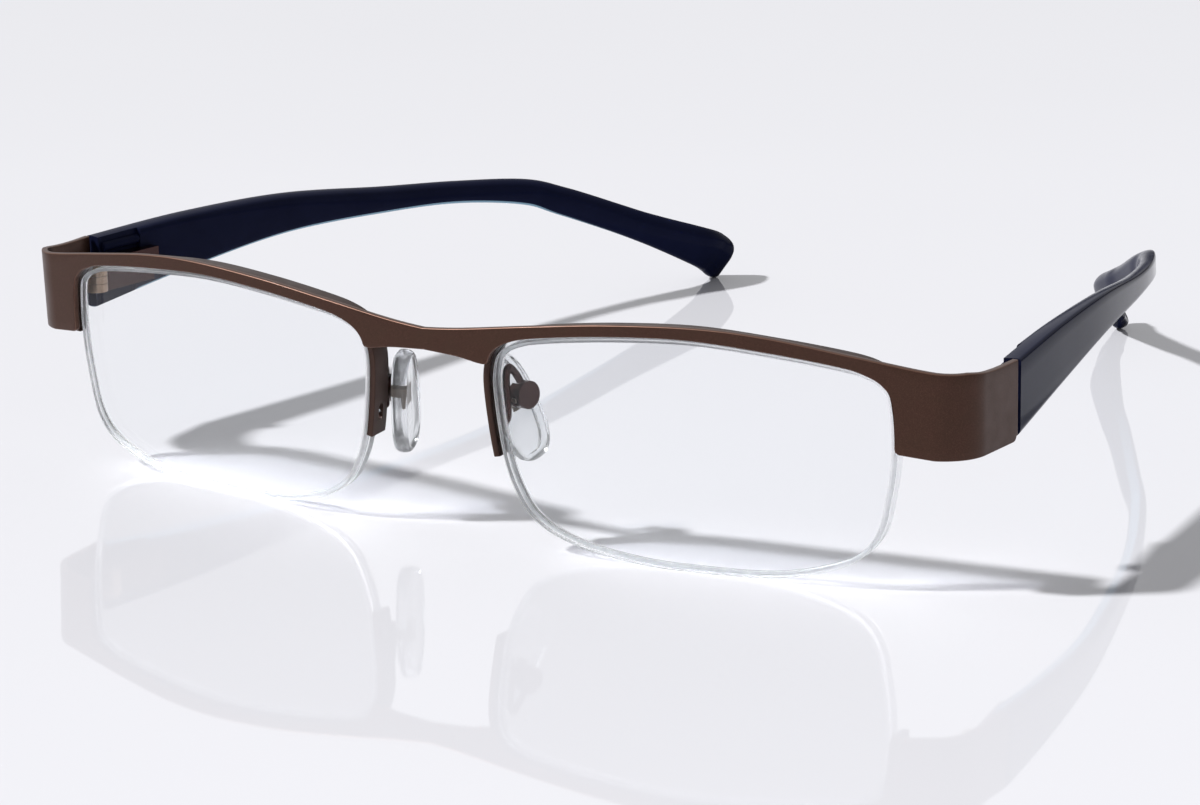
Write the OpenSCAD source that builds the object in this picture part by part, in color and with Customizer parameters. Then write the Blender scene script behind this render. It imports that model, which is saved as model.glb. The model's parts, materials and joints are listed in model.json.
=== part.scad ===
// Half-rim reading glasses, open and standing on their lenses and temple tips.
// X points to the wearer's left, Y to the back and Z up. Sizes are in millimetres.

/* [Lenses] */
// Width of one lens
lens_w = 50.2; // [44:0.2:56]
// Height of one lens
lens_h = 28.8; // [25:0.2:34]
// Thickness of a lens at its edge
lens_t = 3; // [2:0.1:3.6]
// Gap between the two lenses over the nose
nose_gap = 18.4; // [15:0.2:22]
// Width of the groove in a lens edge
lens_groove_w = 0.6; // [0.5:0.05:0.8]
// Depth of the groove in a lens edge
lens_groove_d = 0.6; // [0.5:0.05:0.8]
// Thickness of the nylon cord that holds a lens from below
cord_d = 0.5; // [0.4:0.05:0.5]

/* [Brow plate] */
// Radius that the front is bowed to, seen from above
bow_r = 259; // [200:1:400]
// Lean of the front, top forward, in degrees
lean = 3; // [0:0.5:6]
// Thickness of the plate
plate_t = 0.8; // [0.6:0.1:1.2]
// Width of an end piece beside its lens
end_w = 9.7; // [8.5:0.1:14]
// Height of the bar over a lens
bar_h = 1.55; // [1.2:0.05:4]
// Drop of the plate's top edge from over a lens to the bridge
bridge_drop = 3.65; // [2:0.05:5]
// Height of the bridge between the lenses
bridge_h = 2.75; // [2:0.05:4]
// Drop of the plate's top edge from over a lens to the end piece
end_drop = 4; // [2:0.1:5]
// Height of an end piece
end_h = 10; // [8.5:0.1:12]
// Reach of an end piece behind the middle of the front
end_depth = 21.5; // [19:0.5:26]
// Radius of the bend at each end
bend_r = 6.2; // [3:0.2:7]
// Outward splay of an end piece, in degrees
end_splay = 4; // [0:0.5:8]
// Radius of an end piece's rear corners
end_corner = 0.8; // [0.3:0.1:2]

/* [Rims] */
// Thickness of a rim, seen from the front
rim_t = 0.85; // [0.6:0.05:1.2]
// Depth of a rim from front to back
rim_depth = 3.1; // [2.6:0.1:4]
// Gap between a lens edge and its rim
lens_gap = 0.45; // [0.3:0.05:0.6]
// Margin between a lens edge and the plate's cut-out
cut_margin = 0.5; // [0.4:0.05:1]
// Height at which a rim ends beside the nose
post_end_z = 11; // [8:0.2:14]
// Height at which a rim ends at the temple side
rim_end_z = 16.8; // [14:0.2:18]
// Depth of the liner's groove in a rim
rim_groove_d = 0.3; // [0.2:0.05:0.4]
// Length of the oval holes for the cord's ends
cord_hole_l = 2.2; // [1.6:0.1:3]
// Width of the oval holes for the cord's ends
cord_hole_w = 0.9; // [0.7:0.05:1.2]

/* [Nose pads] */
// Height of a nose pad
pad_h = 14.4; // [11:0.2:16]
// Width of a nose pad
pad_w = 6.4; // [5.5:0.1:8]
// Thickness of a nose pad
pad_t = 2.2; // [1.8:0.1:2.8]
// Lean of a pad, top forward, against the front
pad_lean = 13.5; // [5:0.5:20]
// Flare of a pad, bottom outward
pad_flare = 5.3; // [0:0.1:15]
// Turn of a pad's face towards the back
pad_turn = 15.4; // [5:0.1:30]
// How far the left pad's arm is bent up
left_pad_raise = 1.2; // [-1.2:0.1:1.2]
// How far the right pad's arm is bent up
right_pad_raise = -0.9; // [-1.2:0.1:1.2]
// How far the left pad is rocked, bottom outward, in degrees
left_pad_rock = 8; // [-8:1:8]
// How far the right pad is rocked, bottom outward, in degrees
right_pad_rock = 0; // [-8:1:8]
// Thickness of a pad arm's wire
arm_d = 0.95; // [0.8:0.05:1.2]
// Diameter of a pad box
box_d = 3.5; // [3:0.1:4]
// Depth of a pad box
box_depth = 1.9; // [1.6:0.1:2.4]
// Diameter of a pad screw
pad_screw_d = 0.8; // [0.6:0.05:1]
// Thickness of the metal insert in a pad
insert_t = 0.8; // [0.6:0.1:1]
// Width of the metal insert in a pad
insert_w = 1.8; // [1.4:0.1:2.6]
// Height of the metal insert in a pad
insert_h = 2.8; // [2.4:0.1:4]
// How far a pad's middle stands into the nose gap
pad_in = 0.9; // [0.5:0.1:1.5]
// Depth of a pad's middle behind the middle of the front
pad_depth = 7.9; // [7.2:0.1:9]
// Height of a pad's middle above the middle of a lens
pad_rise = 1; // [0:0.1:2]
// Height of a pad box above the middle of its pad
box_off = 1.6; // [1:0.1:2.4]

/* [Hinges] */
// Distance from an end piece's outer side to the hinge pin
pin_inset = 4; // [3.8:0.1:4.6]
// Distance from an end piece's rear edge forward to the hinge pin
pin_forward = 1.5; // [1.5:0.1:2.5]
// Diameter of the hinge knuckles
knuckle_d = 2.8; // [2.4:0.1:3]
// Height of the hinge's three knuckles together
knuckle_h = 3.4; // [3:0.1:4.4]
// Height of the middle knuckle
tongue_h = 1; // [0.8:0.1:1.4]
// Diameter of the hinge screw
hinge_screw_d = 1.3; // [1:0.1:1.5]
// Diameter of the hinge screw's head
hinge_head_d = 2.2; // [1.9:0.1:2.4]
// Length of a spring case
case_l = 9.2; // [9:0.1:11]
// Thickness of a spring case
case_t = 2.7; // [2.6:0.1:3]
// Height of a spring case
case_h = 4.4; // [4:0.1:5]
// Diameter of the rod through the spring
rod_d = 0.9; // [0.7:0.05:1]
// Outer diameter of the coil spring
spring_d = 1.95; // [1.85:0.05:2.05]
// Thickness of the spring's wire
spring_wire = 0.26; // [0.2:0.02:0.3]
// Number of turns in the spring
spring_turns = 5; // [3:1:5]

/* [Temples] */
// Reach of a temple behind its end piece
temple_run = 120.2; // [105:0.2:130]
// Inward curve of a temple, from its front to its tip
temple_curve = 34.2; // [26:0.2:38]
// Height of a temple at its front
temple_h = 9.8; // [8.5:0.1:11]
// Height of a temple at its slimmest
temple_slim = 3.4; // [3:0.1:6]
// Height of a temple at its tip
temple_tip_h = 6.9; // [5:0.1:9]
// Thickness of a temple at its front
temple_t = 2.9; // [2.6:0.1:3.4]
// Thickness of a temple at its tip
temple_tip_t = 2.5; // [2.1:0.1:3]
// Depth of the step on the inner side at the hinge
recess_d = 0.7; // [0.4:0.1:0.9]

/* [Clearances] */
// Air between parts that move past each other
run_gap = 0.05; // [0.03:0.01:0.08]
// Air between an end piece and its temple
end_gap = 0.45; // [0.35:0.05:0.8]
// Air round what is fixed in a pocket
fit_gap = 0.02; // [0.01:0.01:0.03]

/* [Hidden] */
left = 1;
right = -1;
brown = "#45332c";
navy = "#1a1c2c";
clear = "#dfe6ea";
steel = "#8f8a86";

// Shape of a lens round its middle, for a lens 50.1 wide and 28.8 high.
lens_shape = [
    [1.8, -14.4], [7.8, -14.3], [11.8, -13.9], [15.8, -13], [19.8, -11.5], [22, -9.8],
    [23.5, -7.2], [24.3, -3.5], [24.9, 0.6], [25.05, 4.9], [24.7, 9.2], [23.9, 10.7],
    [22.3, 11.7], [19.2, 12.6], [10.7, 13.7], [0.8, 14.4], [-9.2, 13.9], [-18.2, 12.8],
    [-22, 11.9], [-24.1, 10.6], [-24.9, 8.6], [-25.05, 5.8], [-24.5, 0.4], [-23.8, -3.4],
    [-22.6, -6.7], [-20.7, -9.7], [-17.4, -11.9], [-12.2, -13.4], [-5.2, -14.3]
];
shape_w = max([for (q = lens_shape) q[0]]) - min([for (q = lens_shape) q[0]]);
shape_h = max([for (q = lens_shape) q[1]]) - min([for (q = lens_shape) q[1]]);
lens_x = (nose_gap + lens_w) / 2;
lens_z = lens_h / 2;
// Depths of the pieces behind the plate's outer surface.
rim_y = plate_t + 0.01;
groove_y = rim_y + rim_depth / 2;
lens_y = groove_y - lens_t / 2;
// Heights along the plate.
cut_top = lens_h + cut_margin;
plate_top = cut_top + bar_h;
bridge_top = plate_top - bridge_drop;
end_top = plate_top - end_drop;
end_bottom = end_top - end_h;
tip_z = bridge_top - bridge_h - 1.1;
// Bend of the plate, seen from above, for the side with positive X.
half_w = nose_gap / 2 + lens_w + end_w;
side_dir = [sin(end_splay), cos(end_splay)];
side_out = [cos(end_splay), -sin(end_splay)];
side_end = [half_w, end_depth];
// The bend's centre is bend_r inside both the bow and the end piece's side.
side_line = side_end * side_out - bend_r;
bow_in = bow_r - bend_r;
side_bow = side_line - [0, bow_r] * side_out;
bend_c = [0, bow_r] + side_out * side_bow - side_dir * sqrt(bow_in * bow_in - side_bow * side_bow);
bend_from = atan2(bend_c[0], bow_r - bend_c[1]);
// The front leans about the lowest line of the lenses, and keeps its place at mid height.
foot_y = bow_r - sqrt(bow_r * bow_r - lens_x * lens_x) + lens_y;
lean_back = 20 * sin(lean);
// Hinge pin, and the frame of the temple: it runs inward a little.
pin_x = half_w - pin_inset;
pin_y = end_depth - pin_forward;
pin_z = (end_top + end_bottom) / 2 - 0.1;
temple_turn = 6.5;
temple_y = end_depth + end_gap + 0.1;
temple_x = half_w + 0.1;
// Spring case, in the temple's own frame round the hinge pin.
case_x = 1.5;
case_y = knuckle_d / 2 + 0.4;
guide_w = 1.8;
mouth_l = 3.2;
wall_l = 0.6;
plug_l = 0.6;
bore_y = case_y + mouth_l + wall_l;
bore_d = spring_d + 0.15;
stop_l = 0.5;
pull = 1.2;
stop_y = case_y + case_l - plug_l - stop_l - 0.2;
// Middle of the whole, front to back.
middle_y = (temple_y + temple_run - 0.4) / 2;

// A smooth curve through three or more points, open or closed, with n steps a stretch.
function blend(a, b, c, d, t) =
    0.5 * (2 * b + (c - a) * t + (2 * a - 5 * b + 4 * c - d) * t * t
           + (3 * b - a - 3 * c + d) * t * t * t);
function ring_curve(p, n) = [
    for (i = [0 : len(p) - 1], j = [0 : n - 1])
        blend(p[(i + len(p) - 1) % len(p)], p[i], p[(i + 1) % len(p)], p[(i + 2) % len(p)], j / n)
];
function open_curve(p, n) = concat([
    for (i = [0 : len(p) - 2], j = [0 : n - 1])
        blend(p[max(i - 1, 0)], p[i], p[i + 1], p[min(i + 2, len(p) - 1)], j / n)
], [p[len(p) - 1]]);
function unit(v) = v / norm(v);
function flip(p) = [for (i = [len(p) - 1 : -1 : 0]) p[i]];

// Outline of the left lens in X and Z, and the same outline moved outward by d.
outline = [
    for (q = ring_curve(lens_shape, 4))
        [lens_x + q[0] * lens_w / shape_w, lens_z + q[1] * lens_h / shape_h]
];
count = len(outline);
function outward(i) =
    let (v = outline[(i + 1) % count] - outline[(i + count - 1) % count]) unit([v[1], -v[0]]);
function edge(i, d) = outline[i % count] + outward(i % count) * d;
function grown(d) = [for (i = [0 : count - 1]) edge(i, d)];
// Steps of the outline that lie above one height beside the nose and another at the temple.
function upper(nose_z, side_z) =
    [for (i = [0 : count - 1]) if (outline[i][1] > (outline[i][0] < lens_x ? nose_z : side_z)) i];
function band(ids, a, b) = concat([for (i = ids) edge(i, a)], flip([for (i = ids) edge(i, b)]));
// Depth of the plate's outer surface at x.
function bow(x) = bow_r - sqrt(bow_r * bow_r - x * x);

// A tube of thickness d along points, with its sides turned from the direction side.
module tube(points, d, side, n) {
    last = len(points) - 1;
    rings = [
        for (i = [0 : last])
            let (
                t = unit(points[min(i + 1, last)] - points[max(i - 1, 0)]),
                u = unit(cross(t, side)),
                w = cross(t, u)
            )
            for (j = [0 : n - 1]) points[i] + d / 2 * (u * cos(360 * j / n) + w * sin(360 * j / n))
    ];
    skin(rings, n);
}

// Closes a row of rings of n points each, whose points run clockwise seen from the start.
module skin(rings, n) {
    last = len(rings) / n - 1;
    sides = [
        for (i = [0 : last - 1], j = [0 : n - 1])
            let (k = (j + 1) % n)
            for (f = [[i * n + j, i * n + n + j, i * n + k], [i * n + k, i * n + n + j, i * n + n + k]]) f
    ];
    polyhedron(
        rings,
        concat(sides, [[for (j = [0 : n - 1]) j]], [[for (j = [n - 1 : -1 : 0]) last * n + j]])
    );
}

// Puts a left-hand piece on its side of the part, with the whole part's middle at Y zero.
module on_side(side) {
    mirror([side == left ? 0 : 1, 0, 0]) translate([0, -middle_y, 0]) children();
}

// Leans what belongs to the front.
module leaned() {
    translate([0, foot_y + lean_back, 0]) rotate([lean, 0, 0]) translate([0, -foot_y, 0]) children();
}

// Stands a flat shape up, from depth y0 to y1.
module upright(points, y0, y1) {
    translate([0, y1, 0]) rotate([90, 0, 0]) linear_extrude(y1 - y0) polygon(points);
}

// A wall that follows the bow between depths a and b.
module bow_wall(a, b) {
    translate([0, bow_r, -lens_h]) difference() {
        cylinder(r = bow_r - a, h = 3 * lens_h, $fn = 720);
        translate([0, 0, -1]) cylinder(r = bow_r - b, h = 3 * lens_h + 2, $fn = 720);
    }
}

module bowed(points, a, b) {
    intersection() {
        upright(points, -1, 20);
        bow_wall(a, b);
    }
}

// Plan of the plate's strip at depth d behind its outer surface, for positive X.
function strip_side(d) = concat(
    [for (i = [0 : 20]) let (a = bend_from * i / 20) [0, bow_r] + (bow_r - d) * [sin(a), -cos(a)]],
    [for (i = [1 : 10])
        let (a = bend_from - 90 + (90 - end_splay - bend_from) * i / 10)
        bend_c + (bend_r - d) * [cos(a), sin(a)]],
    [side_end - side_out * d + side_dir * 3]
);
function mirrored(p) = flip([for (q = p) [-q[0], q[1]]]);
strip = concat(mirrored(strip_side(0)), strip_side(0), flip(strip_side(plate_t)),
               flip(mirrored(strip_side(plate_t))));

// Front view of the plate, for positive X: top edge, end, cut-out and bridge.
top_edge = open_curve([
    [0, bridge_top], [lens_x * 0.15, bridge_top + bridge_drop * 0.14],
    [lens_x * 0.44, bridge_top + bridge_drop * 0.52], [lens_x * 0.73, bridge_top + bridge_drop * 0.84],
    [lens_x * 1.05, plate_top], [lens_x * 1.31, plate_top - end_drop * 0.11],
    [lens_x * 1.61, plate_top - end_drop * 0.49], [half_w - 5, end_top + 0.6],
    [half_w + 3, end_top - 0.1]
], 5);
cut_ids = upper(tip_z, end_bottom + 1);
cut_foot = edge(cut_ids[0], cut_margin)[0] - 0.05;
cut_out = [for (i = cut_ids) edge(i, cut_margin)];
bridge_arch = open_curve([
    cut_out[len(cut_out) - 1] - [0.6, 0.1], [nose_gap * 0.4, bridge_top - bridge_h - 0.75],
    [nose_gap * 0.25, bridge_top - bridge_h - 0.3], [0, bridge_top - bridge_h]
], 4);
front_half = concat(
    top_edge,
    [
        [half_w + 3, end_bottom - 1.4], [half_w - 2, end_bottom - 1], [half_w - 4, end_bottom + 0.15],
        [cut_foot + 0.5, end_bottom + 0.45], [cut_foot, end_bottom + 0.85]
    ],
    cut_out, bridge_arch
);
front_view = concat(front_half, mirrored([for (i = [1 : len(front_half) - 2]) front_half[i]]));

// Side view of an end piece: what lies behind the bend keeps inside this outline.
module end_view() {
    r = end_corner;
    rear = end_depth;
    from = 8;
    points = concat(
        [[-9, -9], [from, -9], [from, end_bottom + 0.2]],
        [for (a = [-90 : 15 : 0]) [rear - r + r * cos(a), end_bottom + r + r * sin(a)]],
        [for (a = [0 : 30 : 90]) [rear - r / 2 + r / 2 * cos(a), end_top - r / 2 + r / 2 * sin(a)]],
        [for (q = [[10, 0], [8, 0.05], [6, 0.18], [4.5, 0.34], [3, 0.54], [2, 0.68], [1, 0.8], [0, 0.87]])
            [from + q[0], end_top + q[1]]],
        [[from, plate_top + 9], [-9, plate_top + 9]]
    );
    translate([-half_w - 9, 0, 0]) rotate([90, 0, 90]) linear_extrude(2 * half_w + 18) polygon(points);
}

module brow_plate() {
    color(brown) translate([0, -middle_y, 0]) intersection() {
        leaned() intersection() {
            upright(front_view, -5, end_depth + 5);
            translate([0, 0, -lens_h]) linear_extrude(3 * lens_h) polygon(strip);
        }
        end_view();
    }
}

rim_ids = upper(post_end_z, rim_end_z);
// An oval hole through a rim, across its band, a little in from the end given by step i.
module cord_hole(i) {
    p = edge(i, 0);
    n = outward(i);
    slope = atan2(n[1], n[0]);
    translate([p[0], bow(p[0]) + groove_y, p[1]]) rotate([0, -slope, 0]) {
        rotate([0, 90, 0]) cylinder(d = cord_hole_w, h = 5, center = true, $fn = 32);
        for (s = [-1, 1]) translate([0, 0, s * (cord_hole_l - cord_hole_w) / 2])
            rotate([0, 90, 0]) cylinder(d = cord_hole_w, h = 5, center = true, $fn = 32);
        cube([5, cord_hole_w, cord_hole_l - cord_hole_w], center = true);
    }
}

post_hole = rim_ids[len(rim_ids) - 4];
side_hole = rim_ids[3];
module rim(side) {
    color(brown) on_side(side) leaned() difference() {
        bowed(band(rim_ids, lens_gap, lens_gap + rim_t), rim_y, rim_y + rim_depth);
        bowed(band(rim_ids, 0, lens_gap + rim_groove_d), groove_y - lens_groove_w / 2,
              groove_y + lens_groove_w / 2);
        cord_hole(post_hole);
        cord_hole(side_hole);
    }
}

// The liner fills the grooves of rim and lens between the cord's two holes.
liner_ids = [for (i = [side_hole + 4 : post_hole - 4]) i];
module rim_liner(side) {
    half = lens_groove_w / 2 - fit_gap;
    color(clear) on_side(side) leaned()
        bowed(band(liner_ids, fit_gap - lens_groove_d, lens_gap + rim_groove_d - fit_gap),
              groove_y - half, groove_y + half);
}

module lens(side) {
    color(clear, 0.4) on_side(side) leaned() difference() {
        bowed(grown(0), lens_y, lens_y + lens_t);
        difference() {
            bowed(grown(1), groove_y - lens_groove_w / 2, groove_y + lens_groove_w / 2);
            upright(grown(-lens_groove_d), -1, 20);
        }
    }
}

// The cord lies in the lens's groove, and its ends turn out into the rim's holes.
function cord_point(i, d) = let (p = edge(i, d)) [p[0], bow(p[0]) + groove_y, p[1]];
cord_in = -lens_groove_d + cord_d / 2 + fit_gap;
cord_path = concat(
    [cord_point(post_hole, lens_gap + rim_t), cord_point(post_hole, lens_gap)],
    [for (i = [post_hole + 1 : count + side_hole - 1]) cord_point(i, cord_in)],
    [cord_point(side_hole, lens_gap), cord_point(side_hole, lens_gap + rim_t)]
);
module lens_cord(side) {
    color(clear) on_side(side) leaned() tube(cord_path, cord_d, [0, 1, 0], 8);
}

// Puts a piece of a nose pad in its own frame: X out of the box, Y to the back, Z up the pad.
pad_place = [nose_gap / 2 - pad_in, pad_depth, lens_z + pad_rise];
pad_turns = [pad_lean, -pad_flare, -pad_turn];
box_x = pad_t / 2 + 0.4;
screw_x = box_x + box_depth / 2;
lug_r = box_depth / 2 - 0.3;
function raise(side) = [0, 0, side == left ? left_pad_raise : right_pad_raise];
module at_pad(side) {
    on_side(side) leaned() translate(pad_place + raise(side)) rotate(pad_turns) children();
}

// The pad and its insert rock round the pad screw.
module rocked(side) {
    rock = side == left ? left_pad_rock : right_pad_rock;
    at_pad(side) translate([screw_x, 0, box_off]) rotate([0, -rock, 0])
        translate([-screw_x, 0, -box_off]) children();
}

module pad_box(side) {
    color(brown) at_pad(side) translate([0, 0, box_off]) difference() {
        union() {
            translate([box_x, 0, 0]) rotate([0, 90, 0]) cylinder(d = box_d, h = box_depth, $fn = 48);
            translate([screw_x, 0, 0]) rotate([90, 0, 0])
                cylinder(d = pad_screw_d + 0.9, h = box_d / 2, $fn = 32);
        }
        translate([box_x - 1, -insert_t / 2 - run_gap, -box_d])
            cube([1 + box_depth / 2 + lug_r + run_gap, insert_t + 2 * run_gap, 2 * box_d]);
        translate([screw_x, 0, 0]) rotate([90, 0, 0])
            cylinder(d = pad_screw_d + 2 * fit_gap, h = 6, center = true, $fn = 32);
    }
}

module pad_screw(side) {
    color(steel) at_pad(side) translate([screw_x, 0, box_off]) rotate([90, 0, 0]) {
        translate([0, 0, 0.4 - box_d / 2]) cylinder(d = pad_screw_d, h = box_d - 0.3, $fn = 32);
    }
}

module insert_plate(gap) {
    translate([-0.3 - gap, -insert_w / 2 - gap, box_off - 0.6 - insert_h / 2 - gap])
        cube([0.5 + 2 * gap, insert_w + 2 * gap, insert_h + 2 * gap]);
}

module pad_insert(side) {
    color(steel) rocked(side) difference() {
        union() {
            insert_plate(0);
            translate([0, -insert_t / 2, box_off - lug_r])
                cube([screw_x, insert_t, 2 * lug_r]);
            translate([screw_x, insert_t / 2, box_off]) rotate([90, 0, 0])
                cylinder(r = lug_r, h = insert_t, $fn = 32);
        }
        translate([screw_x, 0, box_off]) rotate([90, 0, 0])
            cylinder(d = pad_screw_d + 2 * run_gap, h = 6, center = true, $fn = 32);
    }
}

// A pad is a rounded slab with a full oval outline that narrows towards the top.
function full(v) = sign(v) * pow(abs(v), 0.78);
function pad_ring(k, x) = [
    for (i = [0 : 27]) let (a = 360 * i / 28, w = full(cos(a)), h = full(sin(a)))
        [x, k * pad_w / 2 * w * (1 - 0.12 * h), (pad_h / 2 - (1 - k) * pad_w / 2) * h]
];
module nose_pad(side) {
    h = pad_t / 2;
    steps = [[0.66, -h], [0.88, -0.78 * h], [1, -0.25 * h], [1, 0.3 * h], [0.9, 0.8 * h], [0.7, h]];
    color(clear) rocked(side) difference() {
        skin([for (s = steps) for (q = pad_ring(s[0], s[1])) q], 28);
        insert_plate(fit_gap);
        translate([0, -insert_t / 2 - fit_gap, box_off - lug_r - fit_gap])
            cube([pad_t, insert_t + 2 * fit_gap, 2 * lug_r + 2 * fit_gap]);
    }
}

// A point of the pad's frame, set in the frame of the front.
function turn_x(v, a) = [v[0], v[1] * cos(a) - v[2] * sin(a), v[1] * sin(a) + v[2] * cos(a)];
function turn_y(v, a) = [v[0] * cos(a) + v[2] * sin(a), v[1], v[2] * cos(a) - v[0] * sin(a)];
function turn_z(v, a) = [v[0] * cos(a) - v[1] * sin(a), v[0] * sin(a) + v[1] * cos(a), v[2]];
function from_pad(v) =
    pad_place + turn_z(turn_y(turn_x(v, pad_turns[0]), pad_turns[1]), pad_turns[2]);

// The arm leaves the rear of the rim, rises and turns over into the top of the box.
arm_z = lens_z + 0.6;
nose_side = [for (i = [floor(count / 2) : count - 1]) [outline[i][1], outline[i][0]]];
arm_x = lookup(arm_z, nose_side) - lens_gap - rim_t / 2;
arm_end = from_pad([screw_x, 0, box_off + box_d / 2 + 0.02]);
module pad_arm(side) {
    r = raise(side);
    y = bow(arm_x) + rim_y + rim_depth + fit_gap;
    path = open_curve([
        [arm_x, y, arm_z], [arm_x, y + 0.2, arm_z], [arm_x + 0.2, y + 0.52, arm_z + 0.3],
        [arm_x + 0.5, y + 0.65, arm_z + 1.2],
        [arm_x + 0.55, y + 0.6, arm_z + 3] + r / 2, [arm_x + 0.5, y + 0.6, arm_z + 4.8] + r,
        [(arm_x + arm_end[0]) / 2 + 0.15, (y + arm_end[1]) / 2 - 0.4, arm_z + 6.1] + r,
        arm_end + [-0.3, -0.5, 1.1] + r, arm_end + r
    ], 4);
    color(brown) on_side(side) leaned() tube(path, arm_d, [1, 0, 0], 10);
}

// Puts a piece in the frame of the hinge pin, turned with the temple.
module at_hinge(side) {
    on_side(side) translate([pin_x, pin_y, pin_z]) rotate([0, 0, temple_turn]) children();
}

// The end piece's half has two ears on one base, with the tongue's knuckle between them.
knuckle_gap = tongue_h / 2 + run_gap;
hinge_base_t = 1.3;
module end_hinge(side) {
    inner = side_end - side_out * (plate_t + fit_gap);
    rear = -pin_forward + 0.15;
    ear_l = pin_inset - plate_t - hinge_base_t - 0.1;
    base = [
        inner + side_dir * rear, inner - side_dir * (pin_forward + 4.2),
        inner - side_dir * (pin_forward + 4.2) - side_out * hinge_base_t,
        inner + side_dir * rear - side_out * hinge_base_t
    ];
    color(steel) on_side(side) difference() {
        union() {
            translate([0, 0, pin_z - knuckle_h / 2]) linear_extrude(knuckle_h) polygon(base);
            translate([pin_x, pin_y, pin_z - knuckle_h / 2]) cylinder(d = knuckle_d, h = knuckle_h, $fn = 48);
            translate([pin_x, pin_y - knuckle_d / 2, pin_z - knuckle_h / 2])
                cube([pin_inset - plate_t - 0.6, knuckle_d, knuckle_h]);
        }
        translate([pin_x, pin_y, pin_z - 6]) cylinder(d = hinge_screw_d + 2 * fit_gap, h = 12, $fn = 48);
        translate([pin_x - knuckle_d, pin_y - knuckle_d / 2 - 0.2, pin_z - knuckle_gap])
            cube([knuckle_d + ear_l, knuckle_d + 1, 2 * knuckle_gap]);
    }
}

module hinge_screw(side) {
    color(steel) on_side(side) translate([pin_x, pin_y, pin_z]) difference() {
        union() {
            translate([0, 0, -knuckle_h / 2]) cylinder(d = hinge_screw_d, h = knuckle_h, $fn = 48);
            translate([0, 0, knuckle_h / 2 + fit_gap - 0.02]) cylinder(d = hinge_head_d, h = 0.6, $fn = 48);
        }
        translate([-hinge_head_d, -0.15, knuckle_h / 2 + 0.3]) cube([2 * hinge_head_d, 0.3, 1]);
    }
}

module hinge_tongue(side) {
    neck = knuckle_d / 2 + 0.2;
    color(steel) at_hinge(side) difference() {
        union() {
            translate([0, 0, -tongue_h / 2]) cylinder(d = knuckle_d, h = tongue_h, $fn = 48);
            translate([0.1, 0, -tongue_h / 2]) cube([knuckle_d / 2 - 0.1, neck + 0.1, tongue_h]);
            translate([case_x - guide_w / 2, neck, -tongue_h / 2])
                cube([guide_w, case_y + mouth_l - fit_gap - neck, tongue_h]);
            translate([case_x, case_y + 1, 0]) rotate([-90, 0, 0])
                cylinder(d = rod_d, h = stop_y + stop_l + 0.15 - case_y - 1, $fn = 32);
        }
        translate([0, 0, -6]) cylinder(d = hinge_screw_d + 2 * run_gap, h = 12, $fn = 48);
    }
}

module spring_stop(side) {
    color(steel) at_hinge(side) translate([case_x, stop_y, 0]) rotate([-90, 0, 0]) difference() {
        cylinder(d = spring_d, h = stop_l, $fn = 40);
        translate([0, 0, -1]) cylinder(d = rod_d + fit_gap, h = 3, $fn = 40);
    }
}

module hinge_spring(side) {
    coil_r = (spring_d - spring_wire) / 2;
    coil_l = stop_y - bore_y - spring_wire - 2 * fit_gap;
    from = bore_y + fit_gap + spring_wire / 2;
    path = [
        for (i = [0 : 10 * spring_turns]) let (a = 36 * i)
            [case_x + coil_r * cos(a), from + coil_l * i / (10 * spring_turns), coil_r * sin(a)]
    ];
    color(steel) at_hinge(side) tube(path, spring_wire, [0, 1, 0], 6);
}

case_z = 0.1;
module case_body(gap) {
    translate([case_x - case_t / 2 - gap, case_y - gap, case_z - case_h / 2 - gap])
        cube([case_t + 2 * gap, case_l + 2 * gap, case_h + 2 * gap]);
    translate([case_x + case_t / 2 - 0.7 - gap, case_y + case_l - 1, case_z - 1.2 - gap])
        cube([0.7 + 2 * gap, 4 + gap, 2.4 + 2 * gap]);
}

module spring_case(side) {
    slot_w = guide_w + 2 * run_gap;
    color(brown) at_hinge(side) difference() {
        case_body(0);
        translate([case_x - slot_w / 2, case_y - 1, -tongue_h / 2 - run_gap])
            cube([slot_w, 1 + mouth_l, tongue_h + 2 * run_gap]);
        translate([case_x, case_y, 0]) rotate([-90, 0, 0])
            cylinder(d = rod_d + 2 * run_gap, h = case_l - 1, $fn = 40);
        translate([case_x, bore_y, 0]) rotate([-90, 0, 0]) cylinder(d = bore_d, h = case_l, $fn = 40);
    }
}

module case_plug(side) {
    color(steel) at_hinge(side) translate([case_x, case_y + case_l - plug_l, 0]) rotate([-90, 0, 0])
        cylinder(d = bore_d - fit_gap, h = plug_l, $fn = 40);
}

// Stations along a temple: share of its run, of its inward curve and of its drop, its height,
// its thickness, its roll in degrees, and how far its inner top edge is rounded.
function mix(a, b, k) = a + (b - a) * k;
front_z = (end_top + end_bottom) / 2 + 0.1;
tip_roll = 32.5;
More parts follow.
